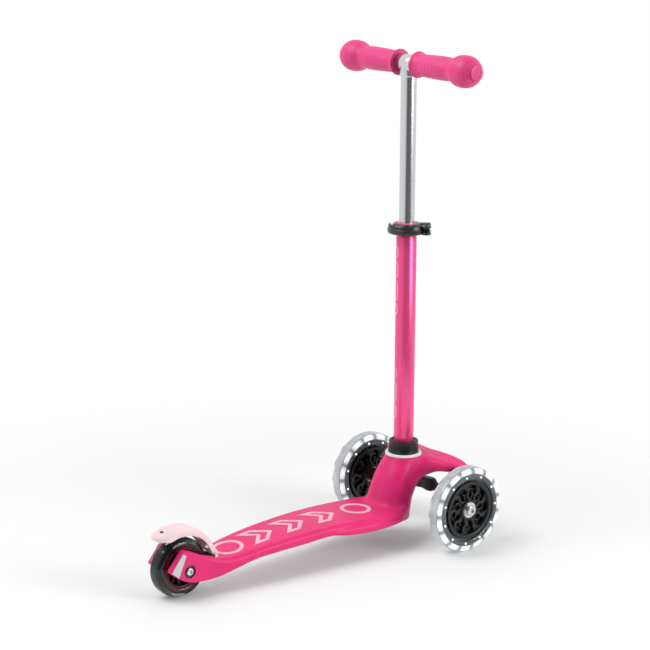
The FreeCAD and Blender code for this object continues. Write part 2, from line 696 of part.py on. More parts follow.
def rear_wheel():
    x, z = "rear_axle_x", "rear_radius"
    tyre("rear", "rear_tyre", x, "0", z)
    wheel_core("rear", "rear_wheel_core", x, "0", z, "rear_bed_radius", 10, 3)
    bearings("rear_bearings", x, "0", z)
    spacers = [turned(f"spacer_{side}", box_corners(
        "axle_radius + 0.05", "6.5", "hub_half_width + 0.3" if sign > 0 else "0 - fork_inner",
        "fork_inner" if sign > 0 else "0 - hub_half_width - 0.3"), x, "0", z, True)
        for side, sign in SIDES.items()]
    keep(group("spacer_pair", spacers), "rear_axle_spacers")
    cups = [turned(f"cup_{side}", box_corners(
        "axle_radius + 0.05", "axle_cup_radius - 0.1",
        "fork_outer - axle_cup_depth" if sign > 0 else "0 - fork_outer + axle_cup_depth - 1",
        "fork_outer - axle_cup_depth + 1" if sign > 0 else "0 - fork_outer + axle_cup_depth"),
        x, "0", z, True) for side, sign in SIDES.items()]
    keep(group("cup_pair", cups), "rear_axle_cups")
    seat = "fork_outer - axle_cup_depth + 1"
    bolt = turned("rear_bolt", [
        ("0", f"0 - ( {seat} ) - 3"), ("6.4", f"0 - ( {seat} ) - 3"), ("6.4", f"0 - ( {seat} )"),
        ("axle_radius", f"0 - ( {seat} )"), ("axle_radius", f"{seat} + 3"), ("0", f"{seat} + 3"),
    ], x, "0", z, True)
    keep(bolt, "rear_axle_bolt")
    nut = turned("rear_nut", box_corners("axle_radius + 0.02", "6.4", f"{seat}", f"{seat} + 3.4"),
                 x, "0", z, True)
    keep(nut, "rear_axle_nut")


# ---------------------------------------------------------------- brake

def brake():
    """A mudguard that hinges in the fork's root and is trodden down onto the rear tyre."""
    shell = body("brake_shell")
    arch = sketch(shell, "arch", "XZ_Plane")
    half, inner = "brake_half", "brake_inner_half"
    outer_side = [("brake_skirt", half), ("brake_crown - 8", half),
                  ("brake_crown - 3", f"{half} - 3.4"), ("brake_crown - 0.6", f"{half} - 8"),
                  ("brake_crown", f"{half} - 13")]
    inner_side = [("brake_roof", f"{inner} - 11"), ("brake_roof - 0.6", f"{inner} - 7"),
                  ("brake_roof - 3", f"{inner} - 2.4"), ("brake_roof - 6", inner),
                  ("brake_skirt", inner)]
    mirror_outer = [(r, f"0 - ( {a} )") for r, a in reversed(outer_side)]
    mirror_inner = [(r, f"0 - ( {a} )") for r, a in reversed(inner_side)]
    outline(arch, outer_side + mirror_outer + mirror_inner + inner_side)
    spin = revolve(shell, arch)
    bind(spin, Angle="brake_sweep")
    start = FreeCAD.Rotation(Z_AXIS, -size("brake_end"))
    place(shell, "rear_axle_x", "0", "rear_radius", TURN_TO_Y.multiply(start))

    tail = body("brake_tail_lip")
    lip = sketch(tail, "lip", "XZ_Plane")
    outline(lip, [("rear_axle_x - 27", "85"), ("brake_tail + 3", "85.5"), ("brake_tail", "88"),
                  ("brake_tail + 5", "91"), ("rear_axle_x - 26", "92")])
    pad(tail, lip, "brake_half * 2 - 10", midplane=True)

    root = body("brake_root")
    web = sketch(root, "web", "XZ_Plane")
    outline(web, [("brake_pivot_x - 7", "brake_pivot_z"), ("brake_pivot_x - 3", "44"),
                  ("brake_pivot_x + 3", "44"), ("brake_pivot_x + 7", "brake_pivot_z"),
                  ("rear_axle_x + 51", "66"), ("rear_axle_x + 46", "66")])
    pad(root, web, "brake_half * 2 - 0.8", midplane=True)
    knuckle = cylinder("brake_barrel", "7", "brake_half * 2 - 0.8",
                       ("brake_pivot_x", "0 - brake_half + 0.4", "brake_pivot_z"), Y_AXIS)
    tools = [
        cylinder("brake_bore", "brake_pin_radius + pin_fit", "60",
                 ("brake_pivot_x", "0 - 30", "brake_pivot_z"), Y_AXIS),
        cylinder("wheel_room", "rear_radius + 4.8", "brake_inner_half * 2",
                 ("rear_axle_x", "0 - brake_inner_half", "rear_radius"), Y_AXIS),
        block("spring_room", ("brake_pivot_x - 20", "brake_pivot_x + 20"), ("0 - 4.6", "4.6"),
              ("20", "brake_pivot_z + 7.5")),
        cylinder("rivet_way", "rivet_radius", "40", ("rivet_x", "0", "60"), Z_AXIS),
        cylinder("rivet_seat", "rivet_head + 0.05", "10", ("rivet_x", "0", "rivet_seat_z"), Z_AXIS),
    ]
    solid = join("brake_solid", [shell, tail, root, knuckle])
    keep(cut("brake_cut", solid, tools), "brake")


def brake_parts():
    plate = body("plate_body")
    strip = sketch(plate, "strip", "XZ_Plane")
    outline(strip, box_corners("brake_plate_low", "brake_plate_high", "-9.5", "9.5"))
    spin = revolve(plate, strip)
    bind(spin, Angle="brake_sweep - 36")
    start = FreeCAD.Rotation(Z_AXIS, -size("brake_end") + 4)
    place(plate, "rear_axle_x", "0", "rear_radius", TURN_TO_Y.multiply(start))
    hole = cylinder("shoe_hole", "rivet_radius", "40", ("rivet_x", "0", "60"), Z_AXIS)
    keep(cut("plate_cut", plate, [hole]), "brake_shoe")
    rivet = turned("rivet", [
        ("0", "79"), ("rivet_radius - pin_fit", "79"), ("rivet_radius - pin_fit", "rivet_seat_z"),
        ("rivet_head", "rivet_seat_z"), ("rivet_head - 0.8", "rivet_seat_z + 1.8"),
        ("0", "rivet_seat_z + 1.8"),
    ], "rivet_x")
    keep(rivet, "brake_rivet")
    pin = cylinder("brake_pin_rod", "brake_pin_radius", "45",
                   ("brake_pivot_x", "0 - 22.5", "brake_pivot_z"), Y_AXIS)
    keep(pin, "brake_pin")
    coil = turned("coil", box_corners("brake_pin_radius + 0.4", "brake_pin_radius + 2", "-4", "4"),
                  "brake_pivot_x", "0", "brake_pivot_z", True)
    keep(coil, "brake_spring")


def reflectors():
    for side, sign in SIDES.items():
        item = body(f"reflector_{side}")
        strip = sketch(item, "strip", "XZ_Plane", "0 - fork_outer" if sign > 0 else "fork_outer + 0.5")
        outline(strip, [(f"rear_axle_x - {-x}", z) for x, z in REFLECTOR])
        pad(item, strip, "0.5", back=True)
        keep(item, f"{side}_reflector")


# ---------------------------------------------------------------- steering linkage

def knuckle(side, sign):
    """Carries one front wheel; it swings on the sloping kingpin under the end of the bridge."""
    across = "pivot_y" if sign > 0 else "0 - pivot_y"
    back = f"{ALONG}"
    upper = cylinder(f"{side}_upper_eye", "knuckle_radius", "knuckle_half * 2",
                     (f"pivot_x - knuckle_half * {back}", across,
                      f"pivot_z - knuckle_half * {back}"), LEAN_AXIS)
    lower = cylinder(f"{side}_lower_eye", "link_eye_radius", "link_eye_half * 2",
                     (f"link_x - link_eye_half * {back}", across,
                      f"link_z - link_eye_half * {back}"), LEAN_AXIS)
    web = body(f"{side}_web")
    face = sketch(web, "face", "XZ_Plane", "0 - 64" if sign > 0 else "78")
    outline(face, [
        ("pivot_x - 8", "pivot_z - 13"), ("pivot_x + 5", "pivot_z - 4"),
        ("pivot_x + 4", "link_z + 14"), ("link_x + 3", "link_z + 3"), ("link_x + 2", "52"),
        ("front_axle_x - 8", "51"), ("front_axle_x - 12", "front_radius + 4"),
    ])
    pad(web, face, "14", back=True)
    start = "66" if sign > 0 else "0 - 89"
    stub = cylinder(f"{side}_stub", "9", "23", ("front_axle_x", start, "front_radius"), Y_AXIS)
    tools = [
        cylinder(f"{side}_king_bore", "kingpin_radius + pin_fit", "60",
                 (f"pivot_x - 30 * {back}", across, f"pivot_z - 30 * {back}"), LEAN_AXIS),
        cylinder(f"{side}_link_bore", "kingpin_radius + pin_fit", "60",
                 (f"link_x - 30 * {back}", across, f"link_z - 30 * {back}"), LEAN_AXIS),
        cylinder(f"{side}_axle_bore", "axle_radius", "40",
                 ("front_axle_x", "70" if sign > 0 else "0 - 110", "front_radius"), Y_AXIS),
        cylinder(f"{side}_head_room", "kingpin_head + 0.4", "8",
                 (f"pivot_x - ( knuckle_half + 8 ) * {back}", across,
                  f"pivot_z - ( knuckle_half + 8 ) * {back}"), LEAN_AXIS),
        cylinder(f"{side}_eye_room", "link_eye_radius + 3.6", "20",
                 (f"link_x + link_eye_half * {back}", across,
                  f"link_z + link_eye_half * {back}"), LEAN_AXIS),
    ]
    solid = join(f"{side}_knuckle_solid", [upper, lower, web, stub])
    keep(cut(f"{side}_knuckle_cut", solid, tools), f"{side}_knuckle")
    pin = turned(f"{side}_kingpin_body", [
        ("0", "0 - knuckle_half - 4"), ("kingpin_head", "0 - knuckle_half - 4"),
        ("kingpin_head", "0 - knuckle_half - 0.4"), ("kingpin_radius", "0 - knuckle_half - 0.4"),
        ("kingpin_radius", "knuckle_half + 9"), ("0", "knuckle_half + 9"),
    ], "pivot_x", across, "pivot_z")
    pin.Placement.Rotation = FreeCAD.Rotation(Z_AXIS, LEAN_AXIS)
    keep(pin, f"{side}_kingpin")


def link():
    """The lower bar of the steering parallelogram, with a pin fixed in each of its eyes."""
    ahead = f"( link_eye_half + 0.4 + bar_thick / 2 ) * {ALONG}"
    bar = body("link_body")
    plan = sketch(bar, "plan", "YZ_Plane", f"link_x + {ahead} - bar_thick")
    mid = f"link_z + {ahead}"
    edge = [("-52", "7"), ("-44", "5.5"), ("-32", "5"), ("-24", "9"), ("24", "9"), ("32", "5"),
            ("44", "5.5"), ("52", "7")]
    outline(plan, [(y, f"{mid} + {up}") for y, up in edge]
            + [(y, f"{mid} - {up}") for y, up in reversed(edge)])
    pad(bar, plan, "bar_thick * 2")
    eyes, bores, pins = [], [], []
    near = "( link_eye_half + 0.4 )"
    for side, sign in SIDES.items():
        across = "pivot_y" if sign > 0 else "0 - pivot_y"
        eyes.append(cylinder(f"{side}_bar_eye", "link_eye_radius + 1", "bar_thick", (
            f"link_x + {near} * {ALONG}", across, f"link_z + {near} * {ALONG}"), LEAN_AXIS))
        arm = doc.addObject("Part::Box", f"{side}_bar_arm")
        bind(arm, Length="bar_thick", Width="24", Height="14")
        eyes.append(place(arm, f"link_x + ( {near} + 7 ) * {ALONG}",
                          "pivot_y - 24" if sign > 0 else "0 - pivot_y",
                          f"link_z + ( {near} - 7 ) * {ALONG}", FreeCAD.Rotation(Y_AXIS, -45)))
        bores.append(cylinder(f"{side}_bar_bore", "kingpin_radius", "40", (
            f"link_x - 20 * {ALONG}", across, f"link_z - 20 * {ALONG}"), LEAN_AXIS))
        pins.append(turned(f"{side}_link_pin_body", [
            ("0", "0 - link_eye_half - 0.6"), ("kingpin_radius", "0 - link_eye_half - 0.6"),
            ("kingpin_radius", f"{near} + bar_thick"), ("5", f"{near} + bar_thick"),
            ("5", f"{near} + bar_thick + 2"), ("0", f"{near} + bar_thick + 2"),
        ], "link_x", across, "link_z"))
        pins[-1].Placement.Rotation = FreeCAD.Rotation(Z_AXIS, LEAN_AXIS)
    solid = join("link_solid", [bar] + eyes)
    keep(cut("link_cut", solid, bores), "tie_bar")
    keep(group("link_pins", pins), "tie_bar_pins")


def build():
    deck()
    inlays()
    steerer_parts()
    upper_bar()
    grips()
    clamp()
    for side, sign in SIDES.items():
        front_wheel(side, sign)
        knuckle(side, sign)
    link()
    rear_wheel()
    brake()
    brake_parts()
    reflectors()


def check_and_write():
    doc.recompute()
    failed = [i.Name for i in doc.Objects if set(i.State) & {"Invalid", "Error"}]
    if failed:
        raise RuntimeError(f"failed objects: {failed}")
    os.makedirs("parts", exist_ok=True)
    for item in nodes:
        if item.Shape.isNull() or not item.Shape.isValid():
            raise RuntimeError(f"{item.Label} is not a valid shape")
        item.Shape.exportStep(f"parts/{item.Label}.step")
        box = item.Shape.BoundBox
        print(f"{item.Label:20s} {len(item.Shape.Solids)} solids {item.Shape.Volume / 1000:8.2f} cm3",
              f"x {box.XMin:7.1f} {box.XMax:7.1f} y {box.YMin:7.1f} {box.YMax:7.1f}",
              f"z {box.ZMin:6.1f} {box.ZMax:6.1f}")


build()
check_and_write()
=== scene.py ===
# %% [markdown]
# # A toddler's lean-to-steer kick scooter
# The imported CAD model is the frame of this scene: every size, axle and hinge already has its place there,
# in metres. Each cell below makes one piece or one finish, says what it is on the real scooter, and hangs
# it on the CAD body that it moves with.

# %% Load the frame
import json
import math
import bmesh
import bpy
import numpy as np
from mathutils import Matrix, Vector


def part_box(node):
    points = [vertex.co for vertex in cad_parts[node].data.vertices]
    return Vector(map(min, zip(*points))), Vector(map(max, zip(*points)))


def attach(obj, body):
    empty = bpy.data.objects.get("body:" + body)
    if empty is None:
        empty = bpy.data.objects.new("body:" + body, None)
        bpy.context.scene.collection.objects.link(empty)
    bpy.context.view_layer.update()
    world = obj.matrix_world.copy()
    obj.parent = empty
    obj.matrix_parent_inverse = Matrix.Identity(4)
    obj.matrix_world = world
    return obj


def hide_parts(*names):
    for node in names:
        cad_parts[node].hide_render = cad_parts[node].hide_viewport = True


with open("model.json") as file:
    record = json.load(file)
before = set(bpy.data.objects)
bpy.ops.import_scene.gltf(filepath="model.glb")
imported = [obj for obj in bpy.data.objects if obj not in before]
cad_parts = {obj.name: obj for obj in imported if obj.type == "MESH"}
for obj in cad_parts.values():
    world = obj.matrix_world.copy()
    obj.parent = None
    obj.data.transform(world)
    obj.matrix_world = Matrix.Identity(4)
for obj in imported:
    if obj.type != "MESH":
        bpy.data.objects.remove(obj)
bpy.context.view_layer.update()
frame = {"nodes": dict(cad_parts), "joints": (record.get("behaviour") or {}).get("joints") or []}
NODES = frame["nodes"]
MM = 0.001
SIDES = {"left": 1, "right": -1}

# %% [markdown]
# Positions are read from the CAD nodes' boxes, so that a piece made here meets its neighbours. A box's
# middle is an axle's or a tube's centre, because those parts are round.

# %% Places taken from the frame
def middle(node):
    low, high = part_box(node)
    return (low + high) / 2 / MM


def span(node):
    low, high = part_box(node)
    return low / MM, high / MM


STEERER_X = middle("lower_tube").x
REAR_AXLE = middle("rear_tyre")
FRONT_AXLE = {side: middle(f"{side}_tyre") for side in SIDES}
FRONT_RADIUS = (span("left_tyre")[1].z - span("left_tyre")[0].z) / 2
REAR_RADIUS = REAR_AXLE.z
BAR_Z = middle("left_bar_plug").z
TUBE_TOP = span("clamp_collar")[0].z
COLLAR_LOW, COLLAR_HIGH = (corner.z for corner in span("steerer_collar"))
print("steerer at x", round(STEERER_X, 1), "bar at z", round(BAR_Z, 1), "mm")

# %% [markdown]
# The scooter is shown through a long lens from behind the rider's right shoulder, low down, so that the
# board runs away from the viewer and the steerer stands clear against the background.

# %% Camera
CAMERA_PLACE = Vector((-1.7584, -2.1706, 1.0247))
AZIMUTH, ELEVATION, ROLL = (math.radians(a) for a in (-39.48, 13.95, 0.32))
FOCAL_MM = 119.7

camera = bpy.data.objects.new("camera", bpy.data.cameras.new("camera"))
bpy.context.scene.collection.objects.link(camera)
bpy.context.scene.camera = camera
camera.data.sensor_width = 36
camera.data.lens = FOCAL_MM
turn = Matrix.Rotation(AZIMUTH, 4, "Z") @ Matrix.Rotation(math.pi / 2 - ELEVATION, 4, "X")
camera.matrix_world = Matrix.Translation(CAMERA_PLACE) @ turn @ Matrix.Rotation(ROLL, 4, "Z")
print("camera", [round(v, 3) for v in camera.matrix_world.translation])

# %% [markdown]
# One small helper adds a shader node with its settings and its links. Colours are written as the sRGB hex
# values that a maker would read off a colour card, and one function turns them to the linear values that
# light uses.

# %% Node and colour helpers
def linear(hex_value):
    """sRGB hex, such as 'F0457F', to a linear RGBA colour."""
    parts = [int(hex_value[i:i + 2], 16) / 255 for i in (0, 2, 4)]
    return tuple(c / 12.92 if c < 0.04045 else ((c + 0.055) / 1.055) ** 2.4 for c in parts) + (1.0,)


def add(tree, kind, settings=None, **inputs):
    """Adds a node; an input, named or i0, i1 and so on by number, is a value or another node's output."""
    node = tree.nodes.new(kind)
    for name, value in (settings or {}).items():
        setattr(node, name, value)
    for name, value in inputs.items():
        by_number = name[0] == "i" and name[1:].isdigit()
        socket = node.inputs[int(name[1:]) if by_number else name.replace("_", " ")]
        if isinstance(value, bpy.types.NodeSocket):
            tree.links.new(value, socket)
        else:
            socket.default_value = value
    return node


def shader(name, **sockets):
    """A material with a Principled shader whose constant values sit on its own sockets."""
    made = bpy.data.materials.new(name)
    made.use_nodes = True
    tree = made.node_tree
    skin = tree.nodes["Principled BSDF"]
    for key, value in sockets.items():
        skin.inputs[key.replace("_", " ")].default_value = value
    return made, tree, skin


def ramp(tree, factor, *stops):
    """A colour ramp; each stop is (place, linear colour)."""
    node = add(tree, "ShaderNodeValToRGB", i0=factor)
    while len(node.color_ramp.elements) < len(stops):
        node.color_ramp.elements.new(0.5)
    for element, (place, colour) in zip(node.color_ramp.elements, stops):
        element.position = place
        element.color = colour
    return node.outputs["Color"]


def grain(tree, per_mm, detail=3.0, stretch=(1, 1, 1)):
    """Noise on object coordinates, with its scale given in grains per millimetre."""
    place = add(tree, "ShaderNodeTexCoord").outputs["Object"]
    scaled = add(tree, "ShaderNodeMapping", Vector=place, Scale=tuple(s * per_mm / MM for s in stretch))
    return add(tree, "ShaderNodeTexNoise", Vector=scaled.outputs[0], Scale=1.0, Detail=detail).outputs["Fac"]


def bump(tree, skin, height, distance_mm, strength):
    """Fine relief of a given depth."""
    node = add(tree, "ShaderNodeBump", Height=height, Distance=distance_mm * MM, Strength=strength)
    tree.links.new(node.outputs["Normal"], skin.inputs["Normal"])


print("helpers ready; mid grey is", round(linear("808080")[0], 3), "in linear light")

# %% [markdown]
# The studio is white to the camera. For light and reflections it has one dark stretch behind the camera, as
# a real studio has: polished tubes need something dark to mirror, or they look like paper. A large soft
# light above and behind gives the shadow, and a smaller one low on the right opens the near side.

# %% Light
DARK_WAY = math.radians(-112)


def studio_world():
    """White where the camera looks; for light and mirrors, bright with one dark stretch."""
    world = bpy.data.worlds.new("studio")
    bpy.context.scene.world = world
    world.use_nodes = True
    tree = world.node_tree
    tree.nodes.clear()
    way = add(tree, "ShaderNodeTexCoord").outputs["Generated"]
    flat = add(tree, "ShaderNodeVectorMath", {"operation": "MULTIPLY"}, i0=way, i1=(1, 1, 0))
    unit = add(tree, "ShaderNodeVectorMath", {"operation": "NORMALIZE"}, i0=flat.outputs[0])
    facing = add(tree, "ShaderNodeVectorMath", {"operation": "DOT_PRODUCT"},
                 i0=unit.outputs[0], i1=(math.cos(DARK_WAY), math.sin(DARK_WAY), 0))
    tint = ramp(tree, facing.outputs["Value"], (0.0, (1.0, 1.0, 1.0, 1)), (0.58, (0.88, 0.88, 0.88, 1)),
                (0.82, (0.14, 0.14, 0.145, 1)), (1.0, (0.18, 0.18, 0.185, 1)))
    soft = add(tree, "ShaderNodeBackground", Color=tint, Strength=0.80)
    white = add(tree, "ShaderNodeBackground", Color=(1, 1, 1, 1), Strength=1.0)
    seen = add(tree, "ShaderNodeLightPath").outputs["Is Camera Ray"]
    mixed = add(tree, "ShaderNodeMixShader", i0=seen, i1=soft.outputs[0], i2=white.outputs[0])
    add(tree, "ShaderNodeOutputWorld", Surface=mixed.outputs[0])


def softbox(name, place, width, power):
    """A square light, its width in metres and its power in watts, aimed at the scooter's middle."""
    data = bpy.data.lights.new(name, "AREA")
    data.shape = "SQUARE"
    data.size = width
    data.energy = power
    lamp = bpy.data.objects.new(name, data)
    bpy.context.scene.collection.objects.link(lamp)
    way = Vector((0, 0, 0.2)) - Vector(place)
    lamp.matrix_world = Matrix.Translation(place) @ way.to_track_quat("-Z", "Y").to_matrix().to_4x4()


studio_world()
softbox("key_light", (-1.4, 0.6, 2.6), 1.6, 34)
softbox("fill_light", (0.95, -2.1, 0.9), 1.2, 28)
bpy.context.scene.view_settings.view_transform = "Standard"

# %% [markdown]
# The floor is a sheet of white paper that only matters near the scooter, where its shadow falls. Further
# out it fades away by distance from the middle, so that the polished tubes mirror the dark stretch and not
# the paper.

# %% Floor
floor_mesh = bpy.data.meshes.new("floor")
FLOOR_REACH = 1.6
corners = [(x * FLOOR_REACH, y * FLOOR_REACH, 0) for x, y in ((-1, -1), (1, -1), (1, 1), (-1, 1))]
floor_mesh.from_pydata(corners, [], [(0, 1, 2, 3)])
floor = bpy.data.objects.new("floor", floor_mesh)
bpy.context.scene.collection.objects.link(floor)
paper, paper_tree, paper_skin = shader("white_paper_sweep", Base_Color=(0.88, 0.88, 0.88, 1), Roughness=0.9,
                                       Emission_Color=(1, 1, 1, 1), Emission_Strength=0.07)
flat_place = add(paper_tree, "ShaderNodeVectorMath", {"operation": "LENGTH"},
                 i0=add(paper_tree, "ShaderNodeTexCoord").outputs["Object"])
fade = add(paper_tree, "ShaderNodeMapRange", {"interpolation_type": "SMOOTHSTEP"},
           Value=flat_place.outputs["Value"], From_Min=0.42, From_Max=0.85, To_Min=1.0, To_Max=0.0)
paper_tree.links.new(fade.outputs[0], paper_skin.inputs["Alpha"])
floor_mesh.materials.append(paper)
print("floor ready")

# %% [markdown]
# Mesh helpers. A turned part is a closed half section spun about an axis; a moulded band is a closed path
# with a width, laid on any surface by a function. Both give closed meshes whose faces point outwards.

# %% Mesh helpers
LATHE_STEPS = 96
AXIS_TO = {"z": lambda a, r1, r2: (r1, r2, a), "y": lambda a, r1, r2: (r2, a, r1)}


def raw(name, verts, faces):
    """A plain object in metres from millimetre vertices."""
    mesh = bpy.data.meshes.new(name)
    mesh.from_pydata([tuple(c * MM for c in v) for v in verts], [], faces)
    made = bpy.data.objects.new(name, mesh)
    bpy.context.scene.collection.objects.link(made)
    return made


def piece(name, verts, faces, material, body, slot, replaces=(), sharp=38):
    """A finished piece from millimetre vertices, riding on its body."""
    made = raw(name, verts, faces)
    tidy(made.data, sharp)
    return register(made, material, body, slot, replaces)


def tidy(mesh, sharp=38):
    """Merges doubles, turns every face outwards and shades it smooth up to a sharp angle."""
    work = bmesh.new()
    work.from_mesh(mesh)
    bmesh.ops.remove_doubles(work, verts=work.verts, dist=1e-6)
    bmesh.ops.recalc_face_normals(work, faces=work.faces)
    work.to_mesh(mesh)
    work.free()
    mesh.shade_smooth()
    mesh.set_sharp_from_angle(angle=math.radians(sharp))


def register(made, material, body, slot, replaces=()):
    """Gives a piece its finish and body, and hides the CAD nodes that it stands for; slot is not used."""
    made.data.materials.clear()
    made.data.materials.append(material)
    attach(made, body)
    if replaces:
        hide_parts(*replaces)
    return made


def applied(made):
    """Keeps what an object's modifiers make of its mesh, and drops the modifiers."""
    done = bpy.data.meshes.new_from_object(made.evaluated_get(bpy.context.evaluated_depsgraph_get()))
    made.modifiers.clear()
    old, made.data = made.data, done
    bpy.data.meshes.remove(old)
    return done


def loft(rows, wrap=False):
    """Faces through rows of equal count; wrap joins the last row to the first, or else both ends close."""
    count, total = len(rows[0]), len(rows)
    faces = []
    for r in range(total if wrap else total - 1):
        here, after = r * count, (r + 1) % total * count
        for i in range(count):
            j = (i + 1) % count
            faces.append((here + i, here + j, after + j, after + i))
    if not wrap:
        faces += [tuple(range(count))[::-1], tuple(range((total - 1) * count, total * count))]
    return [point for row in rows for point in row], faces


def turned(section, centre, axis="z", steps=LATHE_STEPS, sign=1):
    """Vertices and faces of a closed (radius, along) section spun about an axis."""
    rows = []
    for step in range(steps):
        angle = 2 * math.pi * step / steps
        ring = [AXIS_TO[axis](sign * along, radius * math.cos(angle), radius * math.sin(angle))
                for radius, along in section]
        rows.append([tuple(c + p for c, p in zip(centre, point)) for point in ring])
    return loft(rows, wrap=True)


def arc(centre, radius, start, end, steps=8):
    """Points of a circular arc; angles in degrees."""
    angles = [math.radians(start + (end - start) * i / steps) for i in range(steps + 1)]
    return [(centre[0] + radius * math.cos(a), centre[1] + radius * math.sin(a)) for a in angles]


def soften(points, radius, steps=5):
    """Rounds every corner of a closed outline with an arc-like curve."""
    out = []
    count = len(points)
    for i in range(count):
        before, here, after = (Vector(points[k % count][:2]) for k in (i - 1, i, i + 1))
        back, ahead = before - here, after - here
        reach = min(radius, back.length / 2.05, ahead.length / 2.05)
        start, end = here + back.normalized() * reach, here + ahead.normalized() * reach
        for k in range(steps + 1):
            s = k / steps
            out.append(tuple(start * (1 - s) ** 2 + here * 2 * s * (1 - s) + end * s ** 2))
    return out


def resample(points, step):
    """The same closed outline with its points about one step apart."""
    out = []
    for i, here in enumerate(points):
        after = points[(i + 1) % len(points)]
        gap = math.dist(here, after)
        parts = max(1, round(gap / step))
        out += [tuple(h + (a - h) * k / parts for h, a in zip(here, after)) for k in range(parts)]
    return out


def inward(ring):
    """Unit normals into a closed outline, one at each of its points."""
    ahead = ring[1:] + ring[:1]
    side = 1 if sum(a.x * b.y - b.x * a.y for a, b in zip(ring, ahead)) > 0 else -1
    ways = [(b - a).normalized() for a, b in zip(ring[-1:] + ring[:-1], ahead)]
    return [Vector((-way.y, way.x)) * side for way in ways]


def slab(outline, low, high, edge, place):
    """A flat part of any outline with a small bevel; place(x, y, z) puts a point in the frame."""
    ring = [Vector(p) for p in outline]
    levels = [(low, edge), (low + edge * 0.3, edge * 0.3), (low + edge, 0), (high - edge, 0),
              (high - edge * 0.3, edge * 0.3), (high, edge)]
    return loft([[place(*(p + n * inset), z) for p, n in zip(ring, inward(ring))] for z, inset in levels])


def band(loop, width, height, place):
    """A raised closed stroke: its outer edge is the loop, and place(x, y, up) lays it on a surface."""
    ring = [Vector(p) for p in loop]
    lanes = [(0, -0.4), (0, height * 0.6), (width * 0.12, height), (width * 0.88, height),
             (width, height * 0.6), (width, -0.4)]
    rows = [[place(*(p + n * inset), up) for inset, up in lanes] for p, n in zip(ring, inward(ring))]
    return loft(rows, wrap=True)


def gather(*parts):
    """Joins several (vertices, faces) lists into one."""
    verts, faces = [], []
    for part_verts, part_faces in parts:
        faces += [tuple(i + len(verts) for i in face) for face in part_faces]
        verts += part_verts
    return verts, faces


print("a turned ring has", len(turned([(1, 0), (2, 0), (2, 1)], (0, 0, 0))[1]), "faces")

# %% [markdown]
# The finishes. Glass-filled nylon is moulded against a finely etched tool, which leaves a soft sheen and a
# grain of about a third of a millimetre; drawn at 0.6 mm here so that it shows. Its colour drifts slightly
# where the melt flowed. To rays that have bounced off the pink, its colour is drawn nearer to grey, or else
# the paper beside it would look pink.

# %% Moulded finishes
def moulded(name, colour, roughness, grain_mm=0.6, depth_mm=0.02, drift=0.06, coat=0.0, calm=0.0,
            sheen=0.4):
    """A moulded plastic or rubber: colour drift, uneven roughness and an etched grain."""
    made, tree, skin = shader(name, Roughness=roughness, Specular_IOR_Level=sheen, Coat_Weight=coat,
                              Coat_Roughness=0.2)
    base = linear(colour)
    dark = tuple(c * (1 - drift) for c in base[:3]) + (1,)
    pale = tuple(min(1, c * (1 + drift)) for c in base[:3]) + (1,)
    flow = ramp(tree, grain(tree, 0.02, 2.0), (0.3, dark), (0.7, pale))
    if calm:
        bounced = add(tree, "ShaderNodeLightPath").outputs["Is Diffuse Ray"]
        share = add(tree, "ShaderNodeMath", {"operation": "MULTIPLY"}, i0=bounced, i1=calm)
        flow = add(tree, "ShaderNodeMix", {"data_type": "RGBA"}, i0=share.outputs[0], i6=flow,
                   i7=linear("A8A6A7")).outputs[2]
    tree.links.new(flow, skin.inputs["Base Color"])
    rough = add(tree, "ShaderNodeMapRange", Value=grain(tree, 0.15, 4.0), To_Min=roughness - 0.05,
                To_Max=roughness + 0.06)
    tree.links.new(rough.outputs[0], skin.inputs["Roughness"])
    bump(tree, skin, grain(tree, 1 / grain_mm, 2.0), depth_mm, 0.5)
    return made


# a saturated body colour under a soft, even sheen
NYLON = moulded("glass_filled_nylon_hot_pink", "EC2D79", 0.38, calm=0.85, sheen=0.25)
# chalky and pale, with no highlight
TREAD_RUBBER = moulded("soft_touch_rubber_pale_pink", "F7BCC9", 0.6)
# almost white, with a blush in the shade
BRAKE_NYLON = moulded("moulded_nylon_pastel_pink", "FBDDE0", 0.4)
# bright and slightly waxy, as if soft to the hand
GRIP_RUBBER = moulded("moulded_grip_rubber_pink", "F0408A", 0.42, 0.9, 0.03, sheen=0.5)
# dark and dry, with a broad grey highlight
BLACK_NYLON = moulded("glass_filled_nylon_black", "1B1D1F", 0.38, 0.7, 0.03, 0.2)
# wet-looking black with small sharp highlights
GLOSS_BLACK = moulded("polished_nylon_black", "303134", 0.25, 1.2, 0.02, 0.2, 0.3)
# a clean white line round the tube
WHITE_PLASTIC = moulded("polished_abs_white", "F6F3F4", 0.3)
# the deepest black, so that the spokes read by their edges
HUB_BLACK = moulded("moulded_abs_black", "17191A", 0.35, 0.8, 0.03, 0.25)
print("moulded finishes", len(bpy.data.materials) - 1)

# %% [markdown]
# Metal is drawn or turned, which leaves fine lines along it. Anodised tube keeps some of the mirror of
# metal under a dyed skin; the polished tube is nearly a plain mirror, and its lines only soften what it
# reflects.

# %% Metal finishes
def drawn_metal(name, colour, roughness, line_mm=0.5, depth_mm=0.004, coat=0.0, metallic=1.0):
    """Bare or dyed metal with fine drawing lines up and down."""
    made, tree, skin = shader(name, Metallic=metallic, Roughness=roughness, Coat_Weight=coat,
                              Coat_Roughness=0.08)
    lines = grain(tree, 1 / line_mm, 2.0, (1, 1, 0.02))
    base = linear(colour)
    dark = tuple(c * 0.96 for c in base[:3]) + (1,)
    tree.links.new(ramp(tree, lines, (0.35, dark), (0.65, base)), skin.inputs["Base Color"])
    rough = add(tree, "ShaderNodeMapRange", Value=lines, To_Min=roughness * 0.8, To_Max=roughness * 1.3)
    tree.links.new(rough.outputs[0], skin.inputs["Roughness"])
    bump(tree, skin, lines, depth_mm, 0.2)
    return made


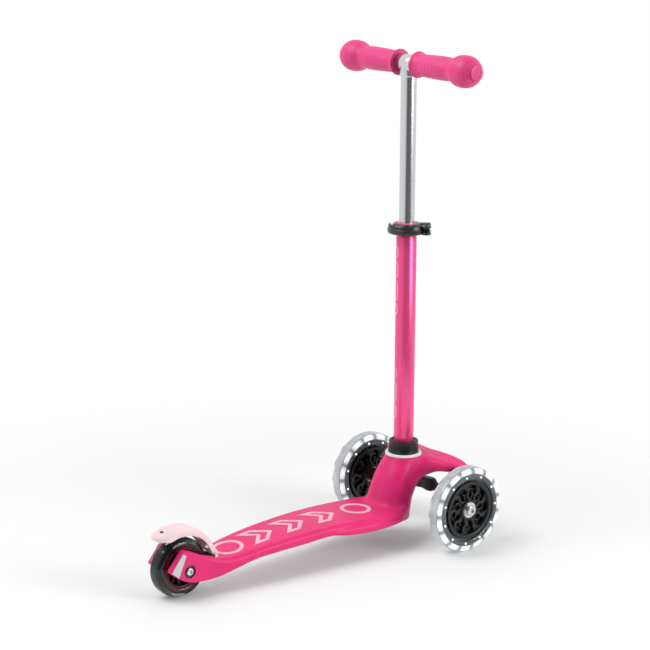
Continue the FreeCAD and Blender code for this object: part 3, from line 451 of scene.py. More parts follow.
# candy pink that runs from pale to deep across the tube
PINK_ANODISED = drawn_metal("anodised_aluminium_pink", "FF5797", 0.26, depth_mm=0.00005, coat=0.1,
                            metallic=0.42)
# light and dark stripes, mirrored from the studio
POLISHED_ALUMINIUM = drawn_metal("polished_aluminium", "E4E5E8", 0.17, depth_mm=0.00005)
# small bright glints on buttons and pins
ZINC_STEEL = drawn_metal("zinc_plated_steel", "D3D5D6", 0.25)
# dull dark metal that stays in the background
BLACK_STEEL = drawn_metal("black_oxide_steel", "2C2D2F", 0.34)
# a warm spot deep in the wheel
COPPER_RING = drawn_metal("copper_winding", "B4603E", 0.35, 0.4)
# flat silver that catches light from anywhere
REFLECTOR_FILM = drawn_metal("retroreflective_film_silver", "C9CCCE", 0.5, 0.8)
print("metals", [made.name for made in (PINK_ANODISED, POLISHED_ALUMINIUM, ZINC_STEEL)])

# %% [markdown]
# Clear cast polyurethane bends light almost as glass does (its IOR is about 1.5) and is a little milky, so
# it is a transmitting shader with a low roughness. The smoky rear tyre is the same resin with a grey dye.
# The light guide inside the front tyres is white, fed by the wheel's own small dynamo; its glow is painted
# on here as emission, so that it reads white through the resin.

# %% Cast and lit finishes
def cast(name, tint):
    """Clear or dyed resin with a slow ripple in its surface."""
    made, tree, skin = shader(name, Base_Color=linear(tint), Roughness=0.05, IOR=1.46,
                              Transmission_Weight=1.0)
    bump(tree, skin, grain(tree, 1 / RIPPLE_MM, 1.0), 0.25, 0.25)
    return made


RIPPLE_MM = 9.0
# glass-like, with bright edges and a bent view of what lies inside
CLEAR_TYRE = cast("cast_polyurethane_clear", "D2D7DA")
# smoked glass that darkens with depth
SMOKE_TYRE = cast("cast_polyurethane_smoke", "8A9295")


def lit(name, strength, factor_of, *stops):
    """A glowing plastic whose brightness follows a factor; its glow is painted, except on the diodes."""
    made, tree, skin = shader(name, Roughness=0.4, Emission_Strength=strength)
    glow = ramp(tree, factor_of(tree), *stops)
    tree.links.new(glow, skin.inputs["Emission Color"])
    tree.links.new(glow, skin.inputs["Base Color"])
    return made


def guide_glow(tree):
    """The light guide's own glow attribute, high between the diodes."""
    return add(tree, "ShaderNodeAttribute", {"attribute_name": "glow"}).outputs["Fac"]


def cloud(tree):
    """Slow unevenness, 20 mm across."""
    return grain(tree, 0.05, 1.0)


# painted glow: white, with short grey marks between the bright stretches
LIGHT_GUIDE = lit("light_guide_white_painted_glow", 0.85, guide_glow, (0.0, linear("85888A")),
                  (0.12, linear("BCBFC1")), (0.35, linear("E6E8E9")), (0.8, linear("FFFFFF")))
# tiny white points, brighter than anything near
DIODE = lit("lit_diode_white", 2.2, cloud, (0.3, linear("E9EBEE")), (0.7, linear("FFFFFF")))
# pale grey painted glow behind the tread, standing for the clear resin's grey edge
TREAD_PAINTED_GREY_GLOW = lit("painted_glow_resin_pale_grey", 0.5, cloud, (0.3, linear("B6B8B9")), (0.7, linear("D4D6D7")))
# the darker zone between the guides and the hub; also the painted shade of thin lines at the tyres' edges
GREY_BAND_AND_EDGE_SHADE = moulded("dyed_polyurethane_grey_and_painted_edge_shade", "7E8285", 0.25, 2.0, 0.02, 0.25)
# thin rust-red rings deep in the rear tyre
RED_RING = moulded("dyed_polyurethane_red_brown", "C23A2C", 0.35, 2.0, 0.02, 0.3)
# plastic painted pink for the light thrown on it by the pink tube round it
BUSH_PAINTED_PINK_LIGHT = moulded("acetal_bush_painted_pink_light", "F2769B", 0.4, 1.5)
print("finishes ready:", len(bpy.data.materials))

# %% [markdown]
# ## The deck
# On the real scooter the board, the stem, the bridge over the wheels and the rear fork are one moulding,
# and every corner between them is a generous fillet. It could be made of lofts joined by booleans, but the
# fillets would be hard to round. Instead each part is written as a distance field, which is negative
# inside; a smooth minimum of two fields joins them with a fillet of any size. The surface where the field
# is zero becomes the mesh.

# %% Distance-field helpers
def curve(stations, column, at):
    """A smooth curve through one column of a station table, held flat past its ends."""
    xs = np.array([s[0] for s in stations], float)
    ys = np.array([s[column] for s in stations], float)
    slopes = np.gradient(ys, xs)
    slopes[0] = slopes[-1] = 0
    at = np.clip(at, xs[0], xs[-1])
    k = np.clip(np.searchsorted(xs, at) - 1, 0, len(xs) - 2)
    gap = xs[k + 1] - xs[k]
    s = (at - xs[k]) / gap
    return ((2 * s**3 - 3 * s**2 + 1) * ys[k] + (s**3 - 2 * s**2 + s) * gap * slopes[k]
            + (3 * s**2 - 2 * s**3) * ys[k + 1] + (s**3 - s**2) * gap * slopes[k + 1])


def round_box(a, b, low_a, high_a, low_b, high_b, radius):
    """Distance to a rectangle with round corners, in two of the three axes."""
    qa = np.abs(a - (low_a + high_a) / 2) - (high_a - low_a) / 2 + radius
    qb = np.abs(b - (low_b + high_b) / 2) - (high_b - low_b) / 2 + radius
    outside = np.sqrt(np.maximum(qa, 0) ** 2 + np.maximum(qb, 0) ** 2)
    return outside + np.minimum(np.maximum(qa, qb), 0) - radius


def meld(a, b, fillet):
    """Smooth minimum: the union of two fields with a fillet between them."""
    near = np.maximum(fillet - np.abs(a - b), 0) / fillet
    return np.minimum(a, b) - near * near * fillet / 4


def trim(a, b, fillet):
    """Smooth maximum: what two fields have in common, with a rounded edge."""
    return -meld(-a, -b, fillet)


def skin_of(field, low, high, pitch):
    """Quads round the zero surface of a field: one vertex in each mixed cell, pulled onto the surface."""
    axes = [np.arange(l, h + pitch, pitch) for l, h in zip(low, high)]
    grid = np.stack(np.meshgrid(*axes, indexing="ij"), -1)
    inside = field(grid[..., 0], grid[..., 1], grid[..., 2]) < 0
    shape = tuple(n - 1 for n in inside.shape)
    total = np.zeros(shape, int)
    for i in (0, 1):
        for j in (0, 1):
            for k in (0, 1):
                total += inside[i:i + shape[0], j:j + shape[1], k:k + shape[2]]
    mixed = (total > 0) & (total < 8)
    label = -np.ones(shape, int)
    label[mixed] = np.arange(mixed.sum())
    points = np.argwhere(mixed) * pitch + np.array([a[0] for a in axes]) + pitch / 2
    quads = []
    for axis in range(3):
        u, v = [a for a in range(3) if a != axis]
        first = np.take(inside, range(inside.shape[axis] - 1), axis)
        second = np.take(inside, range(1, inside.shape[axis]), axis)
        for flip, where in ((False, first & ~second), (True, ~first & second)):
            at = np.argwhere(where)
            at = at[(at[:, u] > 0) & (at[:, v] > 0) & (at[:, u] < shape[u]) & (at[:, v] < shape[v])]
            corners = []
            for du, dv in ((-1, -1), (0, -1), (0, 0), (-1, 0)):
                cell = at.copy()
                cell[:, u] += du
                cell[:, v] += dv
                corners.append(label[cell[:, 0], cell[:, 1], cell[:, 2]])
            order = corners if flip == (axis != 1) else corners[::-1]
            quads.append(np.stack(order, 1))
    quads = np.concatenate(quads)[:, ::-1]
    quads = quads[(quads >= 0).all(1)]
    return settle(field, points, quads, pitch), quads


def settle(field, points, quads, pitch, rounds=5):
    """Evens the vertices out and pulls them onto the zero surface, in turn."""
    step = 0.05
    edges = np.concatenate([quads[:, [i, (i + 1) % 4]] for i in range(4)])
    for turn_number in range(rounds):
        total = np.zeros_like(points)
        count = np.zeros(len(points))
        for a, b in ((0, 1), (1, 0)):
            np.add.at(total, edges[:, a], points[edges[:, b]])
            np.add.at(count, edges[:, a], 1)
        if turn_number < rounds - 1:
            points = points * 0.4 + total / np.maximum(count, 1)[:, None] * 0.6
        for pull in range(2):
            value = field(*points.T)
            slope = np.stack([field(*(points + step * np.eye(3)[i]).T) - value for i in range(3)], 1) / step
            size2 = np.maximum((slope**2).sum(1), 0.05)
            points = points - np.clip(value / size2, -pitch, pitch)[:, None] * slope
    return points


print("a meld of 1 and 1 is", float(meld(1.0, 1.0, 4.0)))

# %% [markdown]
# The stations below are cross-sections at a few places along the board (x), up the stem (z) and across the
# bridge (y), all measured from the rear axle's place, so the deck follows the frame. The upper board stays
# narrow; from the middle forwards a lower skirt flares out beneath it, with a crease where the two meet.

# %% The deck's sections
AFT = REAR_AXLE.x
# x from the rear axle, half width, underside, top, edge rounding
BOARD = [(-40, 27, 46, 68.6, 3), (-17, 27, 33, 68.6, 3), (-2, 27, 25.6, 68.2, 3.5), (10, 27, 22.4, 62.6, 4),
         (21, 27, 21.2, 57.2, 4.5), (32, 27.6, 21, 53.4, 5), (46, 29.6, 22, 48.6, 6),
         (62, 32.4, 25.4, 46.2, 7), (80, 34.8, 30, 47.6, 7.5), (100, 36.8, 35, 50.4, 7),
         (140, 40.6, 39, 54.2, 7), (180, 43, 40.8, 56.6, 7), (220, 45, 43.6, 57.6, 6.5),
         (260, 47, 43, 57.0, 6.5), (300, 48.2, 41, 55.2, 6.5), (335, 46.4, 40, 54, 6.5),
         (365, 41, 40, 53.5, 6)]
SKIRT = [(205, 41, 45, 48, 1.4), (228, 45.5, 43.4, 49.6, 3), (246, 49, 40.4, 51, 4.4),
         (265, 52, 38.2, 51.6, 6), (285, 53.8, 37, 51.6, 6.6), (305, 54, 36.6, 51.4, 6.8),
         (325, 52.4, 36.6, 51, 6.8), (345, 48.6, 36.6, 50.6, 6.8), (366, 41, 37, 50, 6.4)]
# z, rear, front, half width, corner rounding
STEM = [(40, 337, 382, 34, 22), (52, 338, 386, 33.2, 22), (66, 340, 394, 31.4, 23), (80, 344, 403, 30, 24),
        (90, 347.5, 407, 29, 24.5), (100, 352.6, 411, 27.8, 25), (110, 359.2, 413.6, 26.2, 25),
        (119, 364.2, 414.8, 25.3, 25)]
# distance from the middle, rear, front, underside, top, rounding
WING = [(0, 390, 446, 86, 117.5, 12), (28, 400, 447, 91.5, 117.6, 11), (46, 407, 447, 98, 116.4, 8),
        (62, 413.5, 446.5, 100.6, 114, 6), (78, 427.5, 445, 101.6, 110, 4)]
WING_END = 78
NOSE_REACH = 306


def deck_field(x, y, z):
    """Board, skirt, stem and bridge melded together, with the fork's slot trimmed out."""
    u, side = x - AFT, np.abs(y)
    crown = 0.9 * (y / 45) ** 2
    board = round_box(y, z + crown, -curve(BOARD, 1, u), curve(BOARD, 1, u), curve(BOARD, 2, u),
                      curve(BOARD, 3, u), curve(BOARD, 4, u))
    heel = (u + 10) * -0.768 + (z - 68.4) * 0.64
    toe = (u + 30.4) * -0.633 + (z - 43.9) * -0.775
    board = trim(trim(board, heel, 1.5), toe, 3)
    skirt = round_box(y, z, -curve(SKIRT, 1, u), curve(SKIRT, 1, u), curve(SKIRT, 2, u), curve(SKIRT, 3, u),
                      curve(SKIRT, 4, u))
    skirt = np.maximum(skirt, 205 - u)
    nose = 0.772 * u + 0.636 * side - NOSE_REACH
    board = trim(meld(board, skirt, 1.6), nose, 6)
    stem = round_box(u, y, curve(STEM, 1, z), curve(STEM, 2, z), -curve(STEM, 3, z), curve(STEM, 3, z),
                     curve(STEM, 4, z))
    stem = trim(stem, np.maximum(z - 119, 38 - z), 1.5)
    wing = round_box(u, z, curve(WING, 1, side), curve(WING, 2, side), curve(WING, 3, side),
                     curve(WING, 4, side), curve(WING, 5, side))
    wing = trim(wing, side - WING_END, 5)
    whole = trim(meld(meld(board, stem, 11), wing, 22), z - 119, 2.4)
    slot = np.maximum(side - 16, u - 47)
    return trim(whole, -slot, 2)


print("stations: board", len(BOARD), "skirt", len(SKIRT), "stem", len(STEM), "bridge", len(WING))

# %% [markdown]
# The field is sampled on a fine grid and its zero surface becomes quads, evened out so that the shading
# stays calm.

# %% The deck's mesh
DECK_PITCH = 1.5
deck_low, deck_high = span("deck")
points, quads = skin_of(deck_field, (deck_low.x - 3, -87, deck_low.z - 3), (deck_high.x + 3, 87, 122),
                        DECK_PITCH)
deck = piece("deck_moulding", points.tolist(), quads.tolist(), NYLON, "chassis", "pink_nylon", ("deck",))
print("deck", len(quads), "quads")

# %% [markdown]
# The moulding is cored from below so that its walls stay thin: two rows of open bays with ribs between
# them. The pockets for the axle, the tube, the ring and the steering knuckles have crisp edges, so they are
# cut with a boolean after the smooth skin is made.

# %% Cut the bays and bores
def cut_from(target, verts, faces):
    """Subtracts a closed mesh from a piece and applies the result."""
    tool = raw("cutter", verts, faces)
    tidy(tool.data)
    change = target.modifiers.new("cut", "BOOLEAN")
    change.operation = "DIFFERENCE"
    change.solver = "EXACT"
    change.use_self = False
    change.object = tool
    bpy.context.view_layer.update()
    done = applied(target)
    bpy.data.objects.remove(tool)
    done.shade_smooth()
    done.set_sharp_from_angle(angle=math.radians(38))


def rod(radius, start, end, steps=48):
    """A plain round bar between two points, for cutting."""
    a, b = Vector(start), Vector(end)
    to = (b - a).to_track_quat("Z", "Y").to_matrix()
    ring = arc((0, 0), radius, 0, 360, steps)[:-1]
    return loft([[tuple(at + to @ Vector((p, q, 0))) for p, q in ring] for at in (a, b)])


LEAN = Vector((1, 0, 1)).normalized()
KNUCKLE_JOINT = {j["child"]: Vector(j["pos_m"]) / MM for j in frame["joints"] if "knuckle" in j["child"]}
cutters = [rod(14.1, (STEERER_X, 0, 80), (STEERER_X, 0, 160))]
for sign in SIDES.values():
    cutters.append(rod(9, (AFT, sign * 24, REAR_RADIUS), (AFT, sign * 40, REAR_RADIUS)))
    for bay in range(6):
        start = -81 + 32 * bay
        near, far = sorted((sign * 2.3, sign * (24 + bay * 1.6)))
        outline = soften([(start, near), (start + 27, near), (start + 27, far), (start, far)], 4)
        cutters.append(slab(outline, 20, 50.5, 0.1, lambda a, b, c: (a, b, c)))
for child, pivot in KNUCKLE_JOINT.items():
    cutters.append(rod(9.8, pivot - LEAN * 34, pivot + LEAN * 11.4))
cut_from(deck, *gather(*cutters))
print("deck after cutting", len(deck.data.polygons), "faces")

# %% [markdown]
# The soft outlines on the board are a second, softer plastic moulded through the deck, which feet grip.
# They are drawn flat as a distance field, so a stroke is simply the places within half its width of an
# outline, and they follow the board's own top at 0.9 mm above it.

# %% Treads on the board
STROKE = 5.5
TREAD_RINGS = (-136, 86)
TREAD_ARROWS = (-107, -53, 1)
ARROW = [(0, -22), (24, -22), (46, 0), (24, 22), (0, 22), (20, 0)]


def outline_distance(corners, x, y):
    """Signed distance to a polygon, negative inside."""
    nearest = np.full(np.shape(x), 1e9)
    inside = np.zeros(np.shape(x), bool)
    for (ax, ay), (bx, by) in zip(corners, corners[1:] + corners[:1]):
        ex, ey = bx - ax, by - ay
        t = np.clip(((x - ax) * ex + (y - ay) * ey) / (ex * ex + ey * ey), 0, 1)
        nearest = np.minimum(nearest, np.hypot(x - ax - ex * t, y - ay - ey * t))
        if ey:
            inside ^= ((ay > y) != (by > y)) & (x < ax + ex * (y - ay) / ey)
    return np.where(inside, -nearest, nearest)


def tread_field(x, y, z):
    """Rings and arrows as strokes, laid just over the board's crowned top."""
    fields = [np.hypot(x - middle, y) - 22 for middle in TREAD_RINGS]
    fields += [outline_distance([(start + u, v) for u, v in ARROW], x, y) for start in TREAD_ARROWS]
    flat = np.minimum.reduce([np.abs(f + STROKE / 2) - STROKE / 2 for f in fields])
    top = curve(BOARD, 3, x - AFT) - 0.9 * (y / 45) ** 2
    return trim(flat, np.abs(z - top) - 0.9, 0.8)


TREAD_PITCH = 0.6
points, quads = skin_of(tread_field, (-161, -24, 44), (111, 24, 60), TREAD_PITCH)
piece("deck_tread_outlines", points.tolist(), quads.tolist(), TREAD_RUBBER, "chassis", "pale_rubber",
      ("deck_treads",))
print("treads", len(quads), "quads")

# %% [markdown]
# ## The steerer
# A white trim ring closes the joint between the stem and the tube. Above it a black collar is knurled with
# fine rings so that fingers can turn it. Both are turned, so they are drawn as half sections.

# %% Ring, collar and lower tube
def lathe(name, section, centre, material, body, slot, replaces=(), axis="z", sign=1, steps=LATHE_STEPS):
    """A turned piece from its half section."""
    return piece(name, *turned(section, centre, axis, steps, sign), material, body, slot, replaces)


foot = (STEERER_X, 0, 0)
ring_low, ring_high = (corner.z for corner in span("collar_ring"))
ring_radius = (span("collar_ring")[1].x - span("collar_ring")[0].x) / 2
lathe("collar_trim_ring", [(14.1, ring_low), (ring_radius, ring_low)]
      + arc((ring_radius - 1.2, ring_high - 1.2), 1.2, 0, 90, 5) + [(14.1, ring_high)],
      foot, WHITE_PLASTIC, "chassis", "white_plastic", ("collar_ring",))
collar = [(14.15, COLLAR_LOW), (20.9, COLLAR_LOW), (21.6, COLLAR_LOW + 0.8), (21.5, COLLAR_LOW + 2.6)]
for groove in range(5):
    z = COLLAR_LOW + 3.2 + groove * 1.75
    collar += [(21.2 - groove * 0.15, z), (20.6 - groove * 0.15, z + 0.45), (20.6 - groove * 0.15, z + 0.8),
               (21.15 - groove * 0.15, z + 1.25)]
collar += [(20.2, COLLAR_HIGH - 4.2)] + arc((19.4, COLLAR_HIGH - 1.2), 1.2, 0, 90, 5)
collar += [(16.4, COLLAR_HIGH), (15.6, COLLAR_HIGH - 1.4), (14.15, COLLAR_HIGH - 1.6)]
lathe("steerer_collar_knurled", collar, foot, BLACK_NYLON, "chassis", "black_plastic", ("steerer_collar",))
tube_low, tube_high = (corner.z for corner in span("lower_tube"))
lathe("steerer_lower_tube", [(12.5, tube_low), (13.7, tube_low), (14, tube_low + 0.4), (14, tube_high - 0.4),
                             (13.7, tube_high), (12.5, tube_high)],
      foot, PINK_ANODISED, "chassis", "pink_tube", ("lower_tube",), steps=128)
print("collar points", len(collar))

# %% [markdown]
# The lower tube carries a printed pattern of thin pale outlines on its left side: pills and rings in one
# line. Each is a hair-thin strip that lies on the tube, so it is made as a path and wrapped round the
# radius.

# %% Printed outlines on the lower tube
PRINT_WAY = math.radians(150)


def wrapped(loop, width, radius, low):
    """A flat closed stroke (across, up) wrapped round the tube."""
    def put(across, up, lift):
        angle, out = PRINT_WAY + across / radius, radius + lift * 0.05
        return (STEERER_X + out * math.cos(angle), out * math.sin(angle), low + up)
    return band(loop, width, 1.0, put)


def pill(middle, half_long, half_wide, steps=14):
    """A closed stadium outline, long way up."""
    top = arc((0, middle + half_long - half_wide), half_wide, 0, 180, steps)
    low = arc((0, middle - half_long + half_wide), half_wide, 180, 360, steps)
    return top + low


marks = [wrapped(resample(pill(up, long, 6.5), 1.5), 0.7, 14, 170)
         for up, long in ((12, 10), (40, 14), (66, 8), (158, 8), (184, 14), (214, 12), (238, 8))]
piece("tube_printed_outlines", *gather(*marks), WHITE_PLASTIC, "chassis", "pink_tube")
print("marks", len(marks))

# %% [markdown]
# The guide bush is the plastic sleeve that the silver tube slides in. Only its flange shows; its pink is
# painted light from the tube below. The silver tube is polished aluminium; the tee at its top is the same
# metal.

# %% Upper tube and crossbar
upper_low, upper_high = (corner.z for corner in span("upper_tube"))
lathe("upper_tube_polished", [(9.5, upper_low), (10.75, upper_low), (10.75, upper_high), (9.5, upper_high)],
      foot, POLISHED_ALUMINIUM, "t_bar", "silver_tube", ("upper_tube",), steps=128)
bar_end = span("crossbar")[1].y
tee = [(0, -bar_end), (8.9, -bar_end), (9.5, -bar_end + 0.6), (9.5, -17.2), (12.0, -17.0), (12.4, -16.4),
       (12.4, 16.4), (12.0, 17.0), (9.5, 17.2), (9.5, bar_end - 0.6), (8.9, bar_end), (0, bar_end)]
lathe("crossbar_polished", tee, (STEERER_X, 0, BAR_Z), POLISHED_ALUMINIUM, "t_bar", "silver_tube", (), "y")
neck_low = span("crossbar")[0].z
socket = [(10.82, neck_low), (11.0, neck_low), (11.0, neck_low + 6.5), (11.8, neck_low + 7),
          (12.4, neck_low + 8), (12.4, BAR_Z - 2), (10.82, BAR_Z - 2)]
lathe("tee_socket", socket, foot, POLISHED_ALUMINIUM, "t_bar", "silver_tube", ("crossbar",))
print("bar half length", round(bar_end, 1))

# %% [markdown]
# Each grip is one rubber sleeve: a flared flange by the tee, a swelling barrel, and a ball that keeps hands
# on. The barrel has a raised oval panel with plain ribs on both sides, and the ball has a groove round its
# end.

# %% Grips
def grip_radius_at(along):
    """The sleeve's outside radius at a distance from the bar's middle."""
    stations = [(17.5, 17.4), (18.6, 18.0), (20.5, 17.6), (23.5, 15.9), (30, 15.2), (45, 15.6), (62, 16.0),
                (76, 16.0), (86, 15.5), (91, 15.9), (95, 18.0), (99.5, 20.2), (105, 21.25), (112.1, 21.5),
                (119, 20.4), (124.5, 17.6), (128.5, 14.6), (131, 12.0), (132.4, 9.6)]
    return float(curve(stations, 1, np.array([along]))[0])


GRIP_GROOVES = [(26.5, 28.1, 0.35), (31, 32.6, 0.35), (103.4, 104.8, 0.45), (124.6, 125.6, 0.45)]


def grip_relief(along, angle):
    """The raised panel with its ribs, and the grooves round the sleeve and the ball."""
    relief = 0
    for facing in (math.pi, 0):
        swing = (angle - facing + math.pi) % (2 * math.pi) - math.pi
        oval = math.hypot((along - 58) / 27, swing * 16 / 10.5)
        if oval < 1:
            relief += 0.30 * min(1, (1 - oval) * 9)
            if abs((along - 58) % 7 - 3.5) < 1.1 and oval < 0.72:
                relief += 0.35
    for low, high, depth in GRIP_GROOVES:
        if low < along < high:
            relief -= depth
    return relief


def grip(side, sign):
    """One sleeve with its bore, and the plug that closes the bar behind it."""
    count, around = ((220, 160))
    angles = [2 * math.pi * step / around for step in range(around)]

    def ring(along, radii):
        return [(STEERER_X + r * math.cos(a), sign * along, BAR_Z + r * math.sin(a))
                for r, a in zip(radii, angles)]

    rows = []
    for row in range(count + 1):
        along = 17.6 + (132.4 - 17.6) * row / count
        plain = grip_radius_at(along)
        rows.append(ring(along, [plain + grip_relief(along, a) for a in angles]))
    rows += [ring(along, [9.56] * around) for along in (126.2, 17.6)]
    piece(f"{side}_grip_rubber", *loft(rows, wrap=True), GRIP_RUBBER, "t_bar", "pink_rubber",
          (f"{side}_grip",), 50)
    plug = [(0, 126.4), (9.4, 126.4), (9.4, 132.5), (10.9, 132.5), (10.7, 133.1), (9.2, 133.6), (6.2, 133.7),
            (5.8, 133.3), (5.3, 133.3), (4.9, 133.7), (1.6, 133.7), (1.2, 133.2), (0, 133.2)]
    lathe(f"{side}_bar_plug_cap", plug, (STEERER_X, 0, BAR_Z), GRIP_RUBBER, "t_bar", "pink_plastic",
          (f"{side}_bar_plug",), "y", sign)


for side, sign in SIDES.items():
    grip(side, sign)
print("grips made")

# %% [markdown]
# ## The wheels
# A front wheel is a clear cast tyre on a black core. Between them lies a ring of white light guides that
# glow through the resin, with small diodes in a darker band. Spokes, guides and diodes repeat round the
# axle, so one of each is drawn and a small Geometry Nodes group copies it round the wheel.

# %% Ring of copies
def ring_group():
    """Copies its geometry round the Y axis, Count times, and paints it."""
    tree = bpy.data.node_groups.new("ring_of_copies", "GeometryNodeTree")
    for name, kind in (("Geometry", "Geometry"), ("Count", "Int"), ("Material", "Material")):
        tree.interface.new_socket(name, in_out="INPUT", socket_type=f"NodeSocket{kind}")
    tree.interface.new_socket("Geometry", in_out="OUTPUT", socket_type="NodeSocketGeometry")
    start = tree.nodes.new("NodeGroupInput")
    points = add(tree, "GeometryNodePoints", Count=start.outputs["Count"])
    index = add(tree, "GeometryNodeInputIndex").outputs[0]
    share = add(tree, "ShaderNodeMath", {"operation": "DIVIDE"}, i0=index, i1=start.outputs["Count"])
    angle = add(tree, "ShaderNodeMath", {"operation": "MULTIPLY"}, i0=share.outputs[0], i1=2 * math.pi)
    way = add(tree, "ShaderNodeCombineXYZ", Y=angle.outputs[0])
    turn = add(tree, "FunctionNodeEulerToRotation", Euler=way.outputs[0])
    copies = add(tree, "GeometryNodeInstanceOnPoints", Points=points.outputs[0],
                 Instance=start.outputs["Geometry"], Rotation=turn.outputs[0])
    real = add(tree, "GeometryNodeRealizeInstances", Geometry=copies.outputs[0])
    paint = add(tree, "GeometryNodeSetMaterial", Geometry=real.outputs[0], Material=start.outputs["Material"])
    finish = tree.nodes.new("NodeGroupOutput")
    tree.links.new(paint.outputs[0], finish.inputs[0])
    return tree


RING = ring_group()


def ring_of(name, part, count, centre, material, body, slot):
    """Copies of a part round a wheel's axle; the part is drawn about the origin in millimetres."""
    made = raw(name, *part)
    copier = made.modifiers.new("ring", "NODES")
    copier.node_group = RING
    values = {"Count": count, "Material": material}
    for item in RING.interface.items_tree:
        if item.in_out == "INPUT" and item.name in values:
            copier[item.identifier] = values[item.name]
    done = applied(made)
    done.transform(Matrix.Translation(Vector(centre) * MM))
    tidy(done)
    return register(made, material, body, slot)


def polar(radius, degrees):
    """A point of the wheel's plane."""
    angle = math.radians(degrees)
    return (radius * math.cos(angle), radius * math.sin(angle))


def upright(a, b, along):
    """Puts a flat outline in the wheel's plane, with its thickness along the axle."""
    return (a, along, b)


print("ring group", RING.name)

# %% [markdown]
# The spokes are S-shaped vanes, one long, one leaning back and one short in turn, standing on a thin web. A
# vane is the outline of a curved line with a width.

# %% Spokes
def vane(path, width):
    """The outline of a curved stroke with round ends."""
    ring = [Vector(p) for p in path]
    left, right = [], []
    for i, here in enumerate(ring):
        along = (ring[min(i + 1, len(ring) - 1)] - ring[max(i - 1, 0)]).normalized()
        side = Vector((-along.y, along.x)) * width / 2
        left.append(here + side)
        right.append(here - side)
    return [tuple(p) for p in left] + [tuple(p) for p in reversed(right)]


def s_vane(start, end, first, swing, lean, steps=14):
    """An S-shaped line from one radius to another; angles in degrees."""
    shares = [k / steps for k in range(steps + 1)]
    return [polar(start + (end - start) * s, first + swing * math.sin(2 * math.pi * s) + lean * s)
            for s in shares]


def spoke_set(half):
    """A long vane, one that leans back and a short one."""
    strokes = [(s_vane(13, 35.6, 0, 9, 28), 3.8), (s_vane(21, 35.6, 22, -7, -12), 3.0),
               (s_vane(13, 25, 20, 6, 16), 2.8)]
    return gather(*(slab(vane(path, width), low - half, half - low, 0.9, upright)
                    for (path, width), low in zip(strokes, (0, 0.8, 1.4))))


print("spoke faces", len(spoke_set(8)[1]))

# %% [markdown]
# The tyre's section has flat sides and round shoulders. The light guides stop short of the resin's surface
# on all sides, which leaves a thin rim of clear resin that the eye reads as glass; the grey of that rim is
# painted, by a glowing grey ring inside the tread and thin grey wires at the tyre's edges.

# %% Front wheels
def tyre_section(bed, radius, half, shoulder):
    """Half section of a tyre with flat sides and round shoulders."""
    side = arc((radius - shoulder, -half + shoulder), shoulder, -90, 0, 10)
    return ([(bed, -half + 1.3), (bed + 1.6, -half + 0.3)] + side + [(r, -a) for r, a in reversed(side)]
            + [(bed + 1.6, half - 0.3), (bed, half - 1.3)])


def hub_section(radius, half, bore):
    """Half section of a plain ring with small bevels."""
    return [(bore, -half), (radius - 0.7, -half), (radius, -half + 0.7), (radius, half - 0.7),
            (radius - 0.7, half), (bore, half)]


